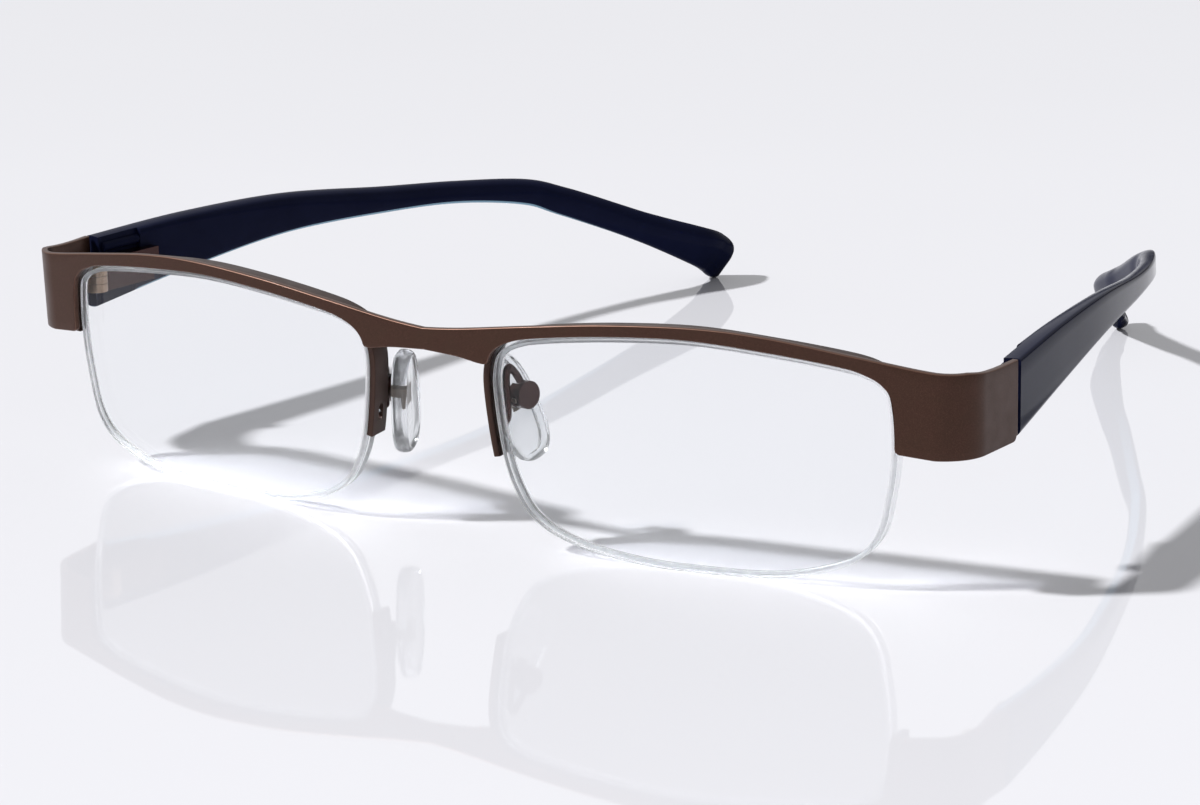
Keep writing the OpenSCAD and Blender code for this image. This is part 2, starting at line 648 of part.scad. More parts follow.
// The tip's lower edge stands on the floor where 97.5 percent of the drop is done.
foot_h = (temple_tip_h - 0.15) / 2 * cos(tip_roll) + 0.62 * (temple_tip_t - 0.1) * sin(tip_roll);
tip_mid = (foot_h - 0.025 * front_z) / 0.975;
stations = [
    [0, 0, 0, temple_h, temple_t, 0, 0.06],
    [0.15, 0.058, -0.055, mix(temple_h, temple_slim, 0.28), temple_t - 0.1, 1.2, 0.1],
    [0.32, 0.136, -0.068, mix(temple_h, temple_slim, 0.63), temple_t - 0.2, 1.8, 0.2],
    [0.49, 0.246, 0.012, mix(temple_h, temple_slim, 0.92), temple_t - 0.3, 0.6, 0.28],
    [0.615, 0.351, 0.08, temple_slim, temple_tip_t, 0, 0.3],
    [0.723, 0.485, 0.176, mix(temple_slim, temple_tip_h, 0.16), temple_tip_t, 6, 0.3],
    [0.775, 0.595, 0.293, mix(temple_slim, temple_tip_h, 0.28), temple_tip_t, 16.9, 0.3],
    [0.842, 0.743, 0.483, mix(temple_slim, temple_tip_h, 0.33), temple_tip_t, 26.5, 0.3],
    [0.884, 0.846, 0.616, mix(temple_slim, temple_tip_h, 0.47), temple_tip_t, 28.3, 0.3],
    [0.943, 0.963, 0.796, mix(temple_slim, temple_tip_h, 0.89), temple_tip_t, tip_roll - 1.2, 0.3],
    [0.975, 0.988, 0.902, temple_tip_h, temple_tip_t, tip_roll, 0.3],
    [0.99, 0.995, 0.975, temple_tip_h - 0.15, temple_tip_t - 0.1, tip_roll, 0.3],
    [0.997, 0.998, 0.992, temple_tip_h - 1, temple_tip_t - 0.5, tip_roll, 0.3],
    [1, 1, 1, temple_tip_h - 2.6, temple_tip_t - 1.3, tip_roll, 0.3]
];
// Section of a temple, h high and t thick, from the outer top edge round the inner side.
// The inner top edge is rounded by c of the thickness.
function section(h, t, c) = [
    [0, h / 2 - 0.05], [-0.3 * t, h / 2], [-0.6 * t, h / 2 - 0.35 * c * t],
    [-0.85 * t, h / 2 - c * t], [-t, h / 2 - 2.6 * c * t], [-t, 0.3 * t - h / 2],
    [-0.85 * t, 0.1 * t - h / 2], [-0.6 * t, -h / 2], [-0.25 * t, -h / 2], [0, 0.2 * t - h / 2],
    [0, -0.15 * h], [0, 0.2 * h]
];
temple_row = open_curve(stations, 3);
function temple_at(i) =
    [temple_x - temple_row[i][1] * temple_curve, temple_y + temple_row[i][0] * temple_run,
     mix(front_z, tip_mid, temple_row[i][2])];
function temple_ring(i) =
    let (
        last = len(temple_row) - 1,
        t = unit(temple_at(min(i + 1, last)) - temple_at(max(i - 1, 0))),
        out = unit([t[1], -t[0], 0]),
        up = cross(out, t),
        roll = temple_row[i][5],
        a = out * cos(roll) + up * sin(roll),
        b = up * cos(roll) - out * sin(roll)
    )
    [
        for (q = flip(section(temple_row[i][3], temple_row[i][4], temple_row[i][6])))
            temple_at(i) + a * q[0] + b * q[1]
    ];

// The inner side steps outward beside the hinge, and keeps one rounded rib along it.
inner_x = pin_inset + 0.35 - temple_t;
recess_l = 8.8;
module inner_recess() {
    difference() {
        translate([-4, -4, -temple_h]) cube([4 + inner_x + recess_d, 4 + recess_l, 2 * temple_h]);
        translate([inner_x + recess_d, -5, temple_h * 0.36]) rotate([-90, 0, 0])
            cylinder(r = recess_d, h = 20, $fn = 24);
    }
}

module temple(side) {
    rings = [for (i = [0 : len(temple_row) - 1]) for (q = temple_ring(i)) q];
    color(navy) difference() {
        on_side(side) skin(rings, 12);
        at_hinge(side) {
            case_body(fit_gap);
            inner_recess();
            // The tongue's guide passes the temple's front face here.
            translate([case_x - guide_w / 2 - run_gap, 0, -tongue_h / 2 - run_gap])
                cube([guide_w + 2 * run_gap, case_y, tongue_h + 2 * run_gap]);
        }
    }
}

brow_plate();
rim(left);  // left_rim
rim(right);  // right_rim
rim_liner(left);  // left_rim_liner
rim_liner(right);  // right_rim_liner
lens(left);  // left_lens
lens(right);  // right_lens
lens_cord(left);  // left_lens_cord
lens_cord(right);  // right_lens_cord
pad_arm(left);  // left_pad_arm
pad_arm(right);  // right_pad_arm
pad_box(left);  // left_pad_box
pad_box(right);  // right_pad_box
pad_screw(left);  // left_pad_screw
pad_screw(right);  // right_pad_screw
nose_pad(left);  // left_nose_pad
nose_pad(right);  // right_nose_pad
pad_insert(left);  // left_pad_insert
pad_insert(right);  // right_pad_insert
end_hinge(left);  // left_end_hinge
end_hinge(right);  // right_end_hinge
hinge_screw(left);  // left_hinge_screw
hinge_screw(right);  // right_hinge_screw
hinge_tongue(left);  // left_hinge_tongue
hinge_tongue(right);  // right_hinge_tongue
spring_stop(left);  // left_spring_stop
spring_stop(right);  // right_spring_stop
hinge_spring(left);  // left_hinge_spring
hinge_spring(right);  // right_hinge_spring
spring_case(left);  // left_spring_case
spring_case(right);  // right_spring_case
case_plug(left);  // left_case_plug
case_plug(right);  // right_case_plug
temple(left);  // left_temple
temple(right);  // right_temple
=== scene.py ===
"""Looks of the half-rim reading glasses: surfaces, finishes, studio and camera.

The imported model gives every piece's place. Sizes named here repeat the ones of
the model, in millimetres, and every mesh is written in metres in the same frame:
X to the wearer's left, Y to the back, Z up, with the floor at zero.
"""

from __future__ import annotations

import json
import logging
import math
from dataclasses import dataclass
from enum import Enum
from functools import cached_property
from typing import Any

import bmesh
import bpy
import numpy as np
from mathutils import Matrix

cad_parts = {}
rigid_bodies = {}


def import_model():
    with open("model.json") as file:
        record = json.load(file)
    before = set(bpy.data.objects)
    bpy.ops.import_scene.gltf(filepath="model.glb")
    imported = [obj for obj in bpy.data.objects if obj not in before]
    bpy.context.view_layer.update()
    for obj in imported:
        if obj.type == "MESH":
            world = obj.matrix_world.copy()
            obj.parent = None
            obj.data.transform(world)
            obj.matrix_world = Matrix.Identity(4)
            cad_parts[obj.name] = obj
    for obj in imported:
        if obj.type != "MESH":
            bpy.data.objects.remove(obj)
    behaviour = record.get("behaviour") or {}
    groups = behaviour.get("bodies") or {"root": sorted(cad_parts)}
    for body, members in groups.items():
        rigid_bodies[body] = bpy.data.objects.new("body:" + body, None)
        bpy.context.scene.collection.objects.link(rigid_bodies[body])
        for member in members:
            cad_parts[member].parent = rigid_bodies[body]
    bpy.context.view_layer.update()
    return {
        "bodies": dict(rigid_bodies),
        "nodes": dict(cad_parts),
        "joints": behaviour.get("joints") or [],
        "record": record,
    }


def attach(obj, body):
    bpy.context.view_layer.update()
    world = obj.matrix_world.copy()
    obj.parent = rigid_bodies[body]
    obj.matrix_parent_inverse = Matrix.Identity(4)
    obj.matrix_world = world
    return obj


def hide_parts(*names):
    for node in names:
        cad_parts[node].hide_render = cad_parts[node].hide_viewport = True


LOG = logging.getLogger("glasses")
MM = 0.001
# Distances in metres under which points are doubles, in new meshes and in packed ones.
MERGE_M = 1e-7
PACKED_MERGE_M = 2e-6
# Angle under which neighbouring packed triangles are one flat face.
FLAT_DEGREES = 0.6
# Width from which a rounding gets more steps.
WIDE_BEVEL_MM = 0.3


class Side(Enum):
    """The wearer's side that a piece belongs to."""

    LEFT = 1
    RIGHT = -1

    @property
    def word(self) -> str:
        """Start of the side's node and body names."""
        return self.name.lower()


# Colours and nodes


def linear(hex_code: str) -> tuple[float, float, float, float]:
    """Turns a screen colour into the linear colour that shaders work with.

    Each channel c becomes c / 12.92 below 0.04045, else ((c + 0.055) / 1.055) ** 2.4.

    Args:
        hex_code: Colour as "#rrggbb".

    Returns:
        Linear red, green, blue and an alpha of one.
    """
    channels = [int(hex_code[i : i + 2], 16) / 255 for i in (1, 3, 5)]
    red, green, blue = (c / 12.92 if c <= 0.04045 else ((c + 0.055) / 1.055) ** 2.4 for c in channels)
    return red, green, blue, 1.0


def add(
    tree: bpy.types.NodeTree,
    kind: str,
    settings: dict[str, Any] | None = None,
    inputs: dict[Any, Any] | None = None,
) -> bpy.types.Node:
    """Adds one node with its settings, values and links.

    Args:
        tree: Node tree that gets the node.
        kind: Blender's name for the node.
        settings: Attributes of the node, such as its operation.
        inputs: Value or source socket for each input, by the input's name or number.

    Returns:
        The new node.
    """
    node = tree.nodes.new(kind)
    for name, value in (settings or {}).items():
        setattr(node, name, value)
    for name, value in (inputs or {}).items():
        if isinstance(value, bpy.types.NodeSocket):
            tree.links.new(value, node.inputs[name])
        else:
            node.inputs[name].default_value = value
    return node


def new_material(name: str) -> tuple[bpy.types.Material, bpy.types.NodeTree]:
    """Makes an empty node material.

    Args:
        name: Name of the finish.

    Returns:
        The material and its node tree.
    """
    material = bpy.data.materials.new(name)
    material.use_nodes = True
    material.node_tree.nodes.clear()
    return material, material.node_tree


def object_place(tree: bpy.types.NodeTree) -> bpy.types.NodeSocket:
    """Object coordinates in metres, which stay with a piece when it moves."""
    return add(tree, "ShaderNodeTexCoord").outputs["Object"]


# Finishes


@dataclass(frozen=True)
class Lacquer:
    """Brown metallic lacquer, sprayed on stamped metal and baked.

    The eye gets a dark satin brown with a fine flake that lightens towards the
    lamp, and on bevelled edges a thin rosy line that is partly lacquer rubbed
    through, partly a painted highlight.
    """

    name: str = "brown metallic lacquer"
    base: str = "#41261d"
    flake: str = "#4f3429"
    mottle: str = "#402c20"
    # Rosy edge colour and its strength: partly lacquer rubbed through, partly painted highlight.
    rubbed_and_highlit_edge: str = "#8a6a5c"
    rubbed_and_highlit: float = 0.4
    metallic: float = 0.7
    roughness: float = 0.38
    specular: float = 0.5
    coat: float = 0.04
    coat_roughness: float = 0.12
    # Flakes are about 0.05 mm wide in life; 0.12 mm is the finest that still shows here.
    flake_mm: float = 0.12
    # The mottle runs in clouds of about 2 mm, over which the roughness varies a little.
    mottle_mm: float = 2.2
    unevenness: float = 0.05
    bump_mm: float = 0.003

    def build(self) -> bpy.types.Material:
        """Mixes base, mottle and flake by noise, and by the edge attribute a rosy colour that is partly
        rubbed-through lacquer, partly a painted highlight.

        Returns:
            The material.
        """
        material, tree = new_material(self.name)
        place = object_place(tree)
        grain = add(
            tree,
            "ShaderNodeTexNoise",
            inputs={"Vector": place, "Scale": 1 / (self.flake_mm * MM), "Detail": 2.0, "Roughness": 0.6},
        ).outputs["Fac"]
        cloud = add(
            tree,
            "ShaderNodeTexNoise",
            inputs={"Vector": place, "Scale": 1 / (self.mottle_mm * MM), "Detail": 4.0},
        ).outputs["Fac"]
        fleck = add(
            tree,
            "ShaderNodeMapRange",
            inputs={"Value": grain, "From Min": 0.45, "From Max": 0.7},
        ).outputs["Result"]
        ground = add(
            tree,
            "ShaderNodeMix",
            {"data_type": "RGBA"},
            {"Factor": cloud, "A": linear(self.base), "B": linear(self.mottle)},
        ).outputs["Result"]
        paint = add(
            tree,
            "ShaderNodeMix",
            {"data_type": "RGBA"},
            {"Factor": fleck, "A": ground, "B": linear(self.flake)},
        ).outputs["Result"]
        # Painted highlight: the edge attribute mixes in a rosy colour that stands partly for lacquer rubbed
        # through, partly for light caught by the bevels.
        edge = add(tree, "ShaderNodeAttribute", {"attribute_name": "edge"}).outputs["Fac"]
        rubbed_and_highlit_share = add(
            tree, "ShaderNodeMath", {"operation": "MULTIPLY", "use_clamp": True}, {0: edge, 1: self.rubbed_and_highlit}
        ).outputs["Value"]
        colour = add(
            tree,
            "ShaderNodeMix",
            {"data_type": "RGBA"},
            {"Factor": rubbed_and_highlit_share, "A": paint, "B": linear(self.rubbed_and_highlit_edge)},
        ).outputs["Result"]
        rough = add(
            tree,
            "ShaderNodeMapRange",
            inputs={
                "Value": cloud,
                "From Min": 0.3,
                "From Max": 0.7,
                "To Min": self.roughness - self.unevenness,
                "To Max": self.roughness + self.unevenness,
            },
        ).outputs["Result"]
        bump = add(
            tree,
            "ShaderNodeBump",
            inputs={"Height": grain, "Distance": self.bump_mm * MM, "Strength": 0.5},
        ).outputs["Normal"]
        shader = add(
            tree,
            "ShaderNodeBsdfPrincipled",
            inputs={
                "Base Color": colour,
                "Metallic": self.metallic,
                "Roughness": rough,
                "Specular IOR Level": self.specular,
                "Normal": bump,
                "Coat Weight": self.coat,
                "Coat Roughness": self.coat_roughness,
            },
        )
        add(tree, "ShaderNodeOutputMaterial", inputs={"Surface": shader.outputs["BSDF"]})
        return material


@dataclass(frozen=True)
class Acetate:
    """Cellulose acetate temples, cut from sheet, tumbled and polished.

    The eye gets a deep navy with a faint cloudy figure, glossy outside and duller
    inside, and a painted pale blue line that stands for light coming through the
    lower inner edge.
    """

    name: str = "polished navy acetate"
    navy: str = "#10142a"
    lighter: str = "#191d36"
    # Painted light: pale blue for light that comes through the lower inner edge.
    painted_edge_light: str = "#7f9fb2"
    roughness: float = 0.1
    ior: float = 1.48
    specular: float = 0.02
    polish_roughness: float = 0.06
    # The figure of the sheet runs in clouds of about 7 mm.
    figure_mm: float = 7.0
    # Handling leaves duller patches of about 2.5 mm.
    patch_mm: float = 2.5
    dulling: float = 0.07
    bump_mm: float = 0.003

    def build(self) -> bpy.types.Material:
        """Navy with a soft figure from noise; gloss and the painted edge light come from attributes.

        Returns:
            The material.
        """
        material, tree = new_material(self.name)
        place = object_place(tree)
        figure = add(
            tree,
            "ShaderNodeTexNoise",
            inputs={"Vector": place, "Scale": 1 / (self.figure_mm * MM), "Detail": 4.0, "Distortion": 0.8},
        ).outputs["Fac"]
        navy = add(
            tree,
            "ShaderNodeMix",
            {"data_type": "RGBA"},
            {"Factor": figure, "A": linear(self.navy), "B": linear(self.lighter)},
        ).outputs["Result"]
        # Painted light: the line attribute mixes in a pale blue that stands for light coming through the
        # lower inner edge.
        line = add(tree, "ShaderNodeAttribute", {"attribute_name": "line"}).outputs["Fac"]
        colour = add(
            tree,
            "ShaderNodeMix",
            {"data_type": "RGBA"},
            {"Factor": line, "A": navy, "B": linear(self.painted_edge_light)},
        ).outputs["Result"]
        handling = add(
            tree,
            "ShaderNodeTexNoise",
            inputs={"Vector": place, "Scale": 1 / (self.patch_mm * MM), "Detail": 5.0},
        ).outputs["Fac"]
        rough = add(
            tree,
            "ShaderNodeMapRange",
            inputs={
                "Value": handling,
                "From Min": 0.35,
                "From Max": 0.7,
                "To Min": self.roughness,
                "To Max": self.roughness + self.dulling,
            },
        ).outputs["Result"]
        bump = add(
            tree,
            "ShaderNodeBump",
            inputs={"Height": handling, "Distance": self.bump_mm * MM, "Strength": 0.3},
        ).outputs["Normal"]
        gloss = add(tree, "ShaderNodeAttribute", {"attribute_name": "gloss"}).outputs["Fac"]
        shader = add(
            tree,
            "ShaderNodeBsdfPrincipled",
            inputs={
                "Base Color": colour,
                "Roughness": rough,
                "IOR": self.ior,
                "Specular IOR Level": self.specular,
                "Coat Weight": gloss,
                "Coat Roughness": self.polish_roughness,
                "Normal": bump,
            },
        )
        add(tree, "ShaderNodeOutputMaterial", inputs={"Surface": shader.outputs["BSDF"]})
        return material


@dataclass(frozen=True)
class ClearPlastic:
    """A clear plastic: cast and polished lens resin, drawn nylon or moulded silicone.

    The eye gets what lies behind, bent and slightly tinted, with bright rims of
    reflection. Lamps pass it, so that its shadow stays light.
    """

    name: str
    tint: str
    ior: float
    roughness: float
    # Light that the piece's shadow lets through, on clear skin and on a ground edge.
    shade: str = "#f8f9fa"
    ground_shade: str = "#a0a0a6"
    # Height and width of the surface's unevenness.
    wave_mm: float = 0.0
    wave_size_mm: float = 1.0
    # Share of light that goes through, and how much of that share a ground edge loses.
    clearness: float = 1.0
    ground_loss: float = 0.0
    ground_roughness: float = 0.45

    def build(self) -> bpy.types.Material:
        """Glass-like shader; for shadow rays it is a tinted transparent one.

        Returns:
            The material.
        """
        material, tree = new_material(self.name)
        place = object_place(tree)
        wave = add(
            tree,
            "ShaderNodeTexNoise",
            inputs={"Vector": place, "Scale": 1 / (self.wave_size_mm * MM), "Detail": 2.0},
        ).outputs["Fac"]
        rough = add(
            tree,
            "ShaderNodeMapRange",
            inputs={
                "Value": wave,
                "From Min": 0.4,
                "From Max": 0.7,
                "To Min": self.roughness,
                "To Max": self.roughness * 1.5 + 0.004,
            },
        ).outputs["Result"]
        inputs: dict[Any, Any] = {
            "Base Color": linear(self.tint),
            "Roughness": rough,
            "IOR": self.ior,
            "Transmission Weight": self.clearness,
        }
        shade: Any = linear(self.shade)
        if self.ground_loss > 0:
            ground = add(tree, "ShaderNodeAttribute", {"attribute_name": "ground"}).outputs["Fac"]
            inputs["Transmission Weight"] = add(
                tree,
                "ShaderNodeMapRange",
                inputs={
                    "Value": ground,
                    "To Min": self.clearness,
                    "To Max": self.clearness - self.ground_loss,
                },
            ).outputs["Result"]
            frost = add(
                tree, "ShaderNodeMath", {"operation": "MULTIPLY"}, {0: ground, 1: self.ground_roughness}
            ).outputs["Value"]
            inputs["Roughness"] = add(
                tree, "ShaderNodeMath", {"operation": "MAXIMUM"}, {0: rough, 1: frost}
            ).outputs["Value"]
            shade = add(
                tree,
                "ShaderNodeMix",
                {"data_type": "RGBA"},
                {"Factor": ground, "A": shade, "B": linear(self.ground_shade)},
            ).outputs["Result"]
        if self.wave_mm > 0:
            inputs["Normal"] = add(
                tree,
                "ShaderNodeBump",
                inputs={"Height": wave, "Distance": self.wave_mm * MM, "Strength": 1.0},
            ).outputs["Normal"]
        body = add(tree, "ShaderNodeBsdfPrincipled", inputs=inputs).outputs["BSDF"]
        through = add(tree, "ShaderNodeBsdfTransparent", inputs={"Color": shade}).outputs["BSDF"]
        shadow = add(tree, "ShaderNodeLightPath").outputs["Is Shadow Ray"]
        mixed = add(tree, "ShaderNodeMixShader", inputs={0: shadow, 1: body, 2: through}).outputs["Shader"]
        add(tree, "ShaderNodeOutputMaterial", inputs={"Surface": mixed})
        return material


@dataclass(frozen=True)
class BareMetal:
    """Machined nickel silver or steel, tumbled after turning.

    The eye gets a small warm grey shine with fine turning marks.
    """

    name: str = "tumbled nickel silver"
    colour: str = "#9d958a"
    dull: str = "#7c746a"
    roughness: float = 0.28
    metallic: float = 1.0
    # Turning marks are about 0.15 mm apart, and the tumbling leaves clouds of about 1 mm.
    mark_mm: float = 0.15
    cloud_mm: float = 0.9
    bump_mm: float = 0.001

    def build(self) -> bpy.types.Material:
        """Metal whose roughness follows fine bands along Z and whose colour follows clouds.

        The wave runs as the sine of 20 times scale times height, so a spacing of d
        asks for a scale of 2 pi / (20 d).

        Returns:
            The material.
        """
        material, tree = new_material(self.name)
        place = object_place(tree)
        bands = add(
            tree,
            "ShaderNodeTexWave",
            {"bands_direction": "Z"},
            {
                "Vector": place,
                "Scale": 2 * math.pi / (20 * self.mark_mm * MM),
                "Distortion": 1.0,
                "Detail": 1.0,
            },
        ).outputs["Fac"]
        cloud = add(
            tree,
            "ShaderNodeTexNoise",
            inputs={"Vector": place, "Scale": 1 / (self.cloud_mm * MM), "Detail": 3.0},
        ).outputs["Fac"]
        colour = add(
            tree,
            "ShaderNodeMix",
            {"data_type": "RGBA"},
            {"Factor": cloud, "A": linear(self.dull), "B": linear(self.colour)},
        ).outputs["Result"]
        rough = add(
            tree,
            "ShaderNodeMapRange",
            inputs={"Value": bands, "To Min": self.roughness - 0.06, "To Max": self.roughness + 0.1},
        ).outputs["Result"]
        bump = add(
            tree,
            "ShaderNodeBump",
            inputs={"Height": bands, "Distance": self.bump_mm * MM, "Strength": 0.2},
        ).outputs["Normal"]
        shader = add(
            tree,
            "ShaderNodeBsdfPrincipled",
            inputs={"Base Color": colour, "Metallic": self.metallic, "Roughness": rough, "Normal": bump},
        )
        add(tree, "ShaderNodeOutputMaterial", inputs={"Surface": shader.outputs["BSDF"]})
        return material


@dataclass(frozen=True)
class GlossBoard:
    """White gloss board under the glasses, as in a product studio.

    The eye gets near white with soft shadows and a faint clear reflection.
    """

    name: str = "white gloss board"
    colour: str = "#e6e6eb"
    lighter: str = "#e9e9ee"
    roughness: float = 0.03
    ior: float = 1.5
    # The board's tone wanders over about 120 mm.
    tone_mm: float = 120.0

    def build(self) -> bpy.types.Material:
        """Nearly even white; very soft noise keeps it from being one flat tone.

        Returns:
            The material.
        """
        material, tree = new_material(self.name)
        place = object_place(tree)
        tone = add(
            tree,
            "ShaderNodeTexNoise",
            inputs={"Vector": place, "Scale": 1 / (self.tone_mm * MM), "Detail": 2.0},
        ).outputs["Fac"]
        colour = add(
            tree,
            "ShaderNodeMix",
            {"data_type": "RGBA"},
            {"Factor": tone, "A": linear(self.colour), "B": linear(self.lighter)},
        ).outputs["Result"]
        shader = add(
            tree,
            "ShaderNodeBsdfPrincipled",
            inputs={"Base Color": colour, "Roughness": self.roughness, "IOR": self.ior},
        )
        add(tree, "ShaderNodeOutputMaterial", inputs={"Surface": shader.outputs["BSDF"]})
        return material


class Finishes:
    """Every material of the scene, made once and shared by its pieces."""

    def __init__(self) -> None:
        """Builds the materials."""
        self.lacquer = Lacquer().build()
        self.acetate = Acetate().build()
        # The rims carry the plate's lacquer in a darker copy, as painted shade: behind the plate they are
        # lit from above and still look darker than it.
        self.rim_lacquer_painted_shade = Lacquer(
            "dark brown lacquer", "#2f1c16", "#3a261e", "#2c1d17", "#6a4f44", metallic=0.5, specular=0.3
        ).build()
        self.gloss_lacquer = Lacquer(
            "glossy brown lacquer", "#3a2321", "#442b28", "#372220",
            rubbed_and_highlit=0.0, metallic=0.85, roughness=0.2, specular=0.3, coat=0.15,
        ).build()  # fmt: skip
        # The index is below the resin's 1.5: the lenses mirror as little as coated ones do.
        # Rays from the floor also find the lamp through the lens, so its shade lets only a part pass.
        self.lens = ClearPlastic(
            "clear lens resin", "#fbfcfd", 1.3, 0.0,
            shade="#dcdde0", ground_shade="#a0a0a6", ground_loss=0.15,
        ).build()  # fmt: skip
        self.nylon = ClearPlastic("drawn clear nylon", "#eef1f2", 1.46, 0.12, wave_mm=0.01).build()
        self.silicone = ClearPlastic(
            "moulded clear silicone", "#f1f3f4", 1.41, 0.1, wave_mm=0.015, wave_size_mm=1.8, clearness=0.94
        ).build()
        self.steel = BareMetal().build()
        self.insert = BareMetal(
            "blasted insert metal", "#857a6f", "#6e655c", roughness=0.45, metallic=0.8, mark_mm=0.2
        ).build()
        self.hinge = BareMetal("tumbled rose hinge steel", "#b09a86", "#8d7a6b", roughness=0.3).build()
        self.board = GlossBoard().build()


# Surfaces


def spline(points: list[Any] | np.ndarray, steps: int, closed: bool = False) -> np.ndarray:
    """Smooth curve through points, each stretch a cubic of its four nearest points.

    At share t between b and c, with a before and d after, the place is half of
    2b + (c - a) t + (2a - 5b + 4c - d) t^2 + (3b - a - 3c + d) t^3.

    Args:
        points: Points, one row each, of any number of values.
        steps: Steps in each stretch.
        closed: Whether the curve returns to its first point.

    Returns:
        The curve's points, with the last point added once where it is open.
    """
    p = np.asarray(points, float)
    n = len(p)
    i = np.arange(n if closed else n - 1)
    if closed:
        a, b, c, d = (p[(i + k) % n] for k in (-1, 0, 1, 2))
    else:
        a, b, c, d = (p[np.clip(i + k, 0, n - 1)] for k in (-1, 0, 1, 2))
    t = (np.arange(steps) / steps)[None, :, None]
    a, b, c, d = (q[:, None, :] for q in (a, b, c, d))
    curve = 0.5 * (2 * b + (c - a) * t + (2 * a - 5 * b + 4 * c - d) * t**2 + (3 * b - a - 3 * c + d) * t**3)
    curve = curve.reshape(-1, p.shape[1])
    return curve if closed else np.vstack([curve, p[-1]])


def unit(v: np.ndarray) -> np.ndarray:
    """Vectors of length one in the directions of v's rows."""
    return v / np.maximum(np.linalg.norm(v, axis=-1, keepdims=True), 1e-12)


def grid_faces(rows: int, cols: int, wrap: bool) -> np.ndarray:
    """Four-sided faces between neighbouring rows of a grid of points.

    Args:
        rows: Rows in the grid.
        cols: Points in a row.
        wrap: Whether a row's last point meets its first.

    Returns:
        Four point numbers for each face.
    """
    r = np.arange(rows - 1)[:, None]
    c = np.arange(cols if wrap else cols - 1)[None, :]
    n = (c + 1) % cols
    return np.stack([r * cols + c, r * cols + n, (r + 1) * cols + n, (r + 1) * cols + c], -1).reshape(-1, 4)


def rounded(corners: np.ndarray, radius: float, steps: int = 4) -> np.ndarray:
    """Rounds the corners of closed outlines.

    Round each corner v the outline follows (1-u)^2 p + 2u(1-u) v + u^2 q, where p and
    q lie on its two sides at the radius from v, or at 45 percent of a shorter side.

    Args:
        corners: Outlines of shape (outlines, corners, 2).
        radius: Distance from a corner at which the rounding starts.
        steps: Points in each rounding.

    Returns:
        Outlines of shape (outlines, corners * steps, 2).
    """
    before, after = np.roll(corners, 1, axis=1) - corners, np.roll(corners, -1, axis=1) - corners
    reach_b = np.minimum(radius / np.maximum(np.linalg.norm(before, axis=-1), 1e-9), 0.45)[..., None]
    reach_a = np.minimum(radius / np.maximum(np.linalg.norm(after, axis=-1), 1e-9), 0.45)[..., None]
    p, q = corners + before * reach_b, corners + after * reach_a
    u = (np.arange(steps) / (steps - 1))[None, None, :, None]
    curve = (1 - u) ** 2 * p[:, :, None] + 2 * u * (1 - u) * corners[:, :, None] + u**2 * q[:, :, None]
    return curve.reshape(len(corners), -1, 2)


def swept(path: np.ndarray, side: np.ndarray, up: np.ndarray, profile: np.ndarray) -> np.ndarray:
    """Carries a profile along a path.

    Point j of ring i is path_i + side_i * profile_ij0 + up_i * profile_ij1.

    Args:
        path: Points of the path, (n, 3).
        side: First direction of the profile at each point, (n, 3).
        up: Second direction at each point, (n, 3).
        profile: Profile of each ring, (n, m, 2) or one profile (m, 2) for all.

    Returns:
        Rings of points, (n, m, 3).
    """
    shape = np.broadcast_to(profile, (len(path),) + profile.shape[-2:])
    return path[:, None] + side[:, None] * shape[..., :1] + up[:, None] * shape[..., 1:]


def wire(path: np.ndarray, diameter: float, across: np.ndarray, sides: int, tip: float) -> np.ndarray:
    """Round wire along a path, with rounded ends.

    The profile is a circle; over the last stretch of length tip its radius falls
    as the square root of 1 - (1 - s)^2, where s is the share of the way to the end.

    Args:
        path: Points of the path, (n, 3).
        diameter: Thickness of the wire.
        across: A direction that is never along the path.
        sides: Points round the wire.
        tip: Length of each rounded end.

    Returns:
        Rings of points, (n, sides, 3).
    """
    along = unit(np.gradient(path, axis=0))
    u = unit(np.cross(along, across))
    w = np.cross(along, u)
    run = np.concatenate([[0], np.cumsum(np.linalg.norm(np.diff(path, axis=0), axis=1))])
    near = np.minimum(run, run[-1] - run)
    share = np.clip(near / max(tip, 1e-9), 0, 1)
    scale = np.sqrt(np.clip(1 - (1 - share) ** 2, 0.08, 1))
    a = np.linspace(0, 2 * math.pi, sides, endpoint=False)
    circle = np.stack([np.cos(a), np.sin(a)], 1) * diameter / 2
    return swept(path, u, w, circle[None] * scale[:, None, None])


def evened(path: np.ndarray, spacing: float) -> np.ndarray:
    """The same path with points at even distances, by linear interpolation on its length.

    Args:
        path: Points of the path, (n, k).
        spacing: Distance between two points.

    Returns:
        The new points, with both ends kept.
    """
    run = np.concatenate([[0], np.cumsum(np.linalg.norm(np.diff(path, axis=0), axis=1))])
    at = np.linspace(0, run[-1], max(int(run[-1] / spacing), 2) + 1)
    return np.stack([np.interp(at, run, path[:, k]) for k in range(path.shape[1])], 1)


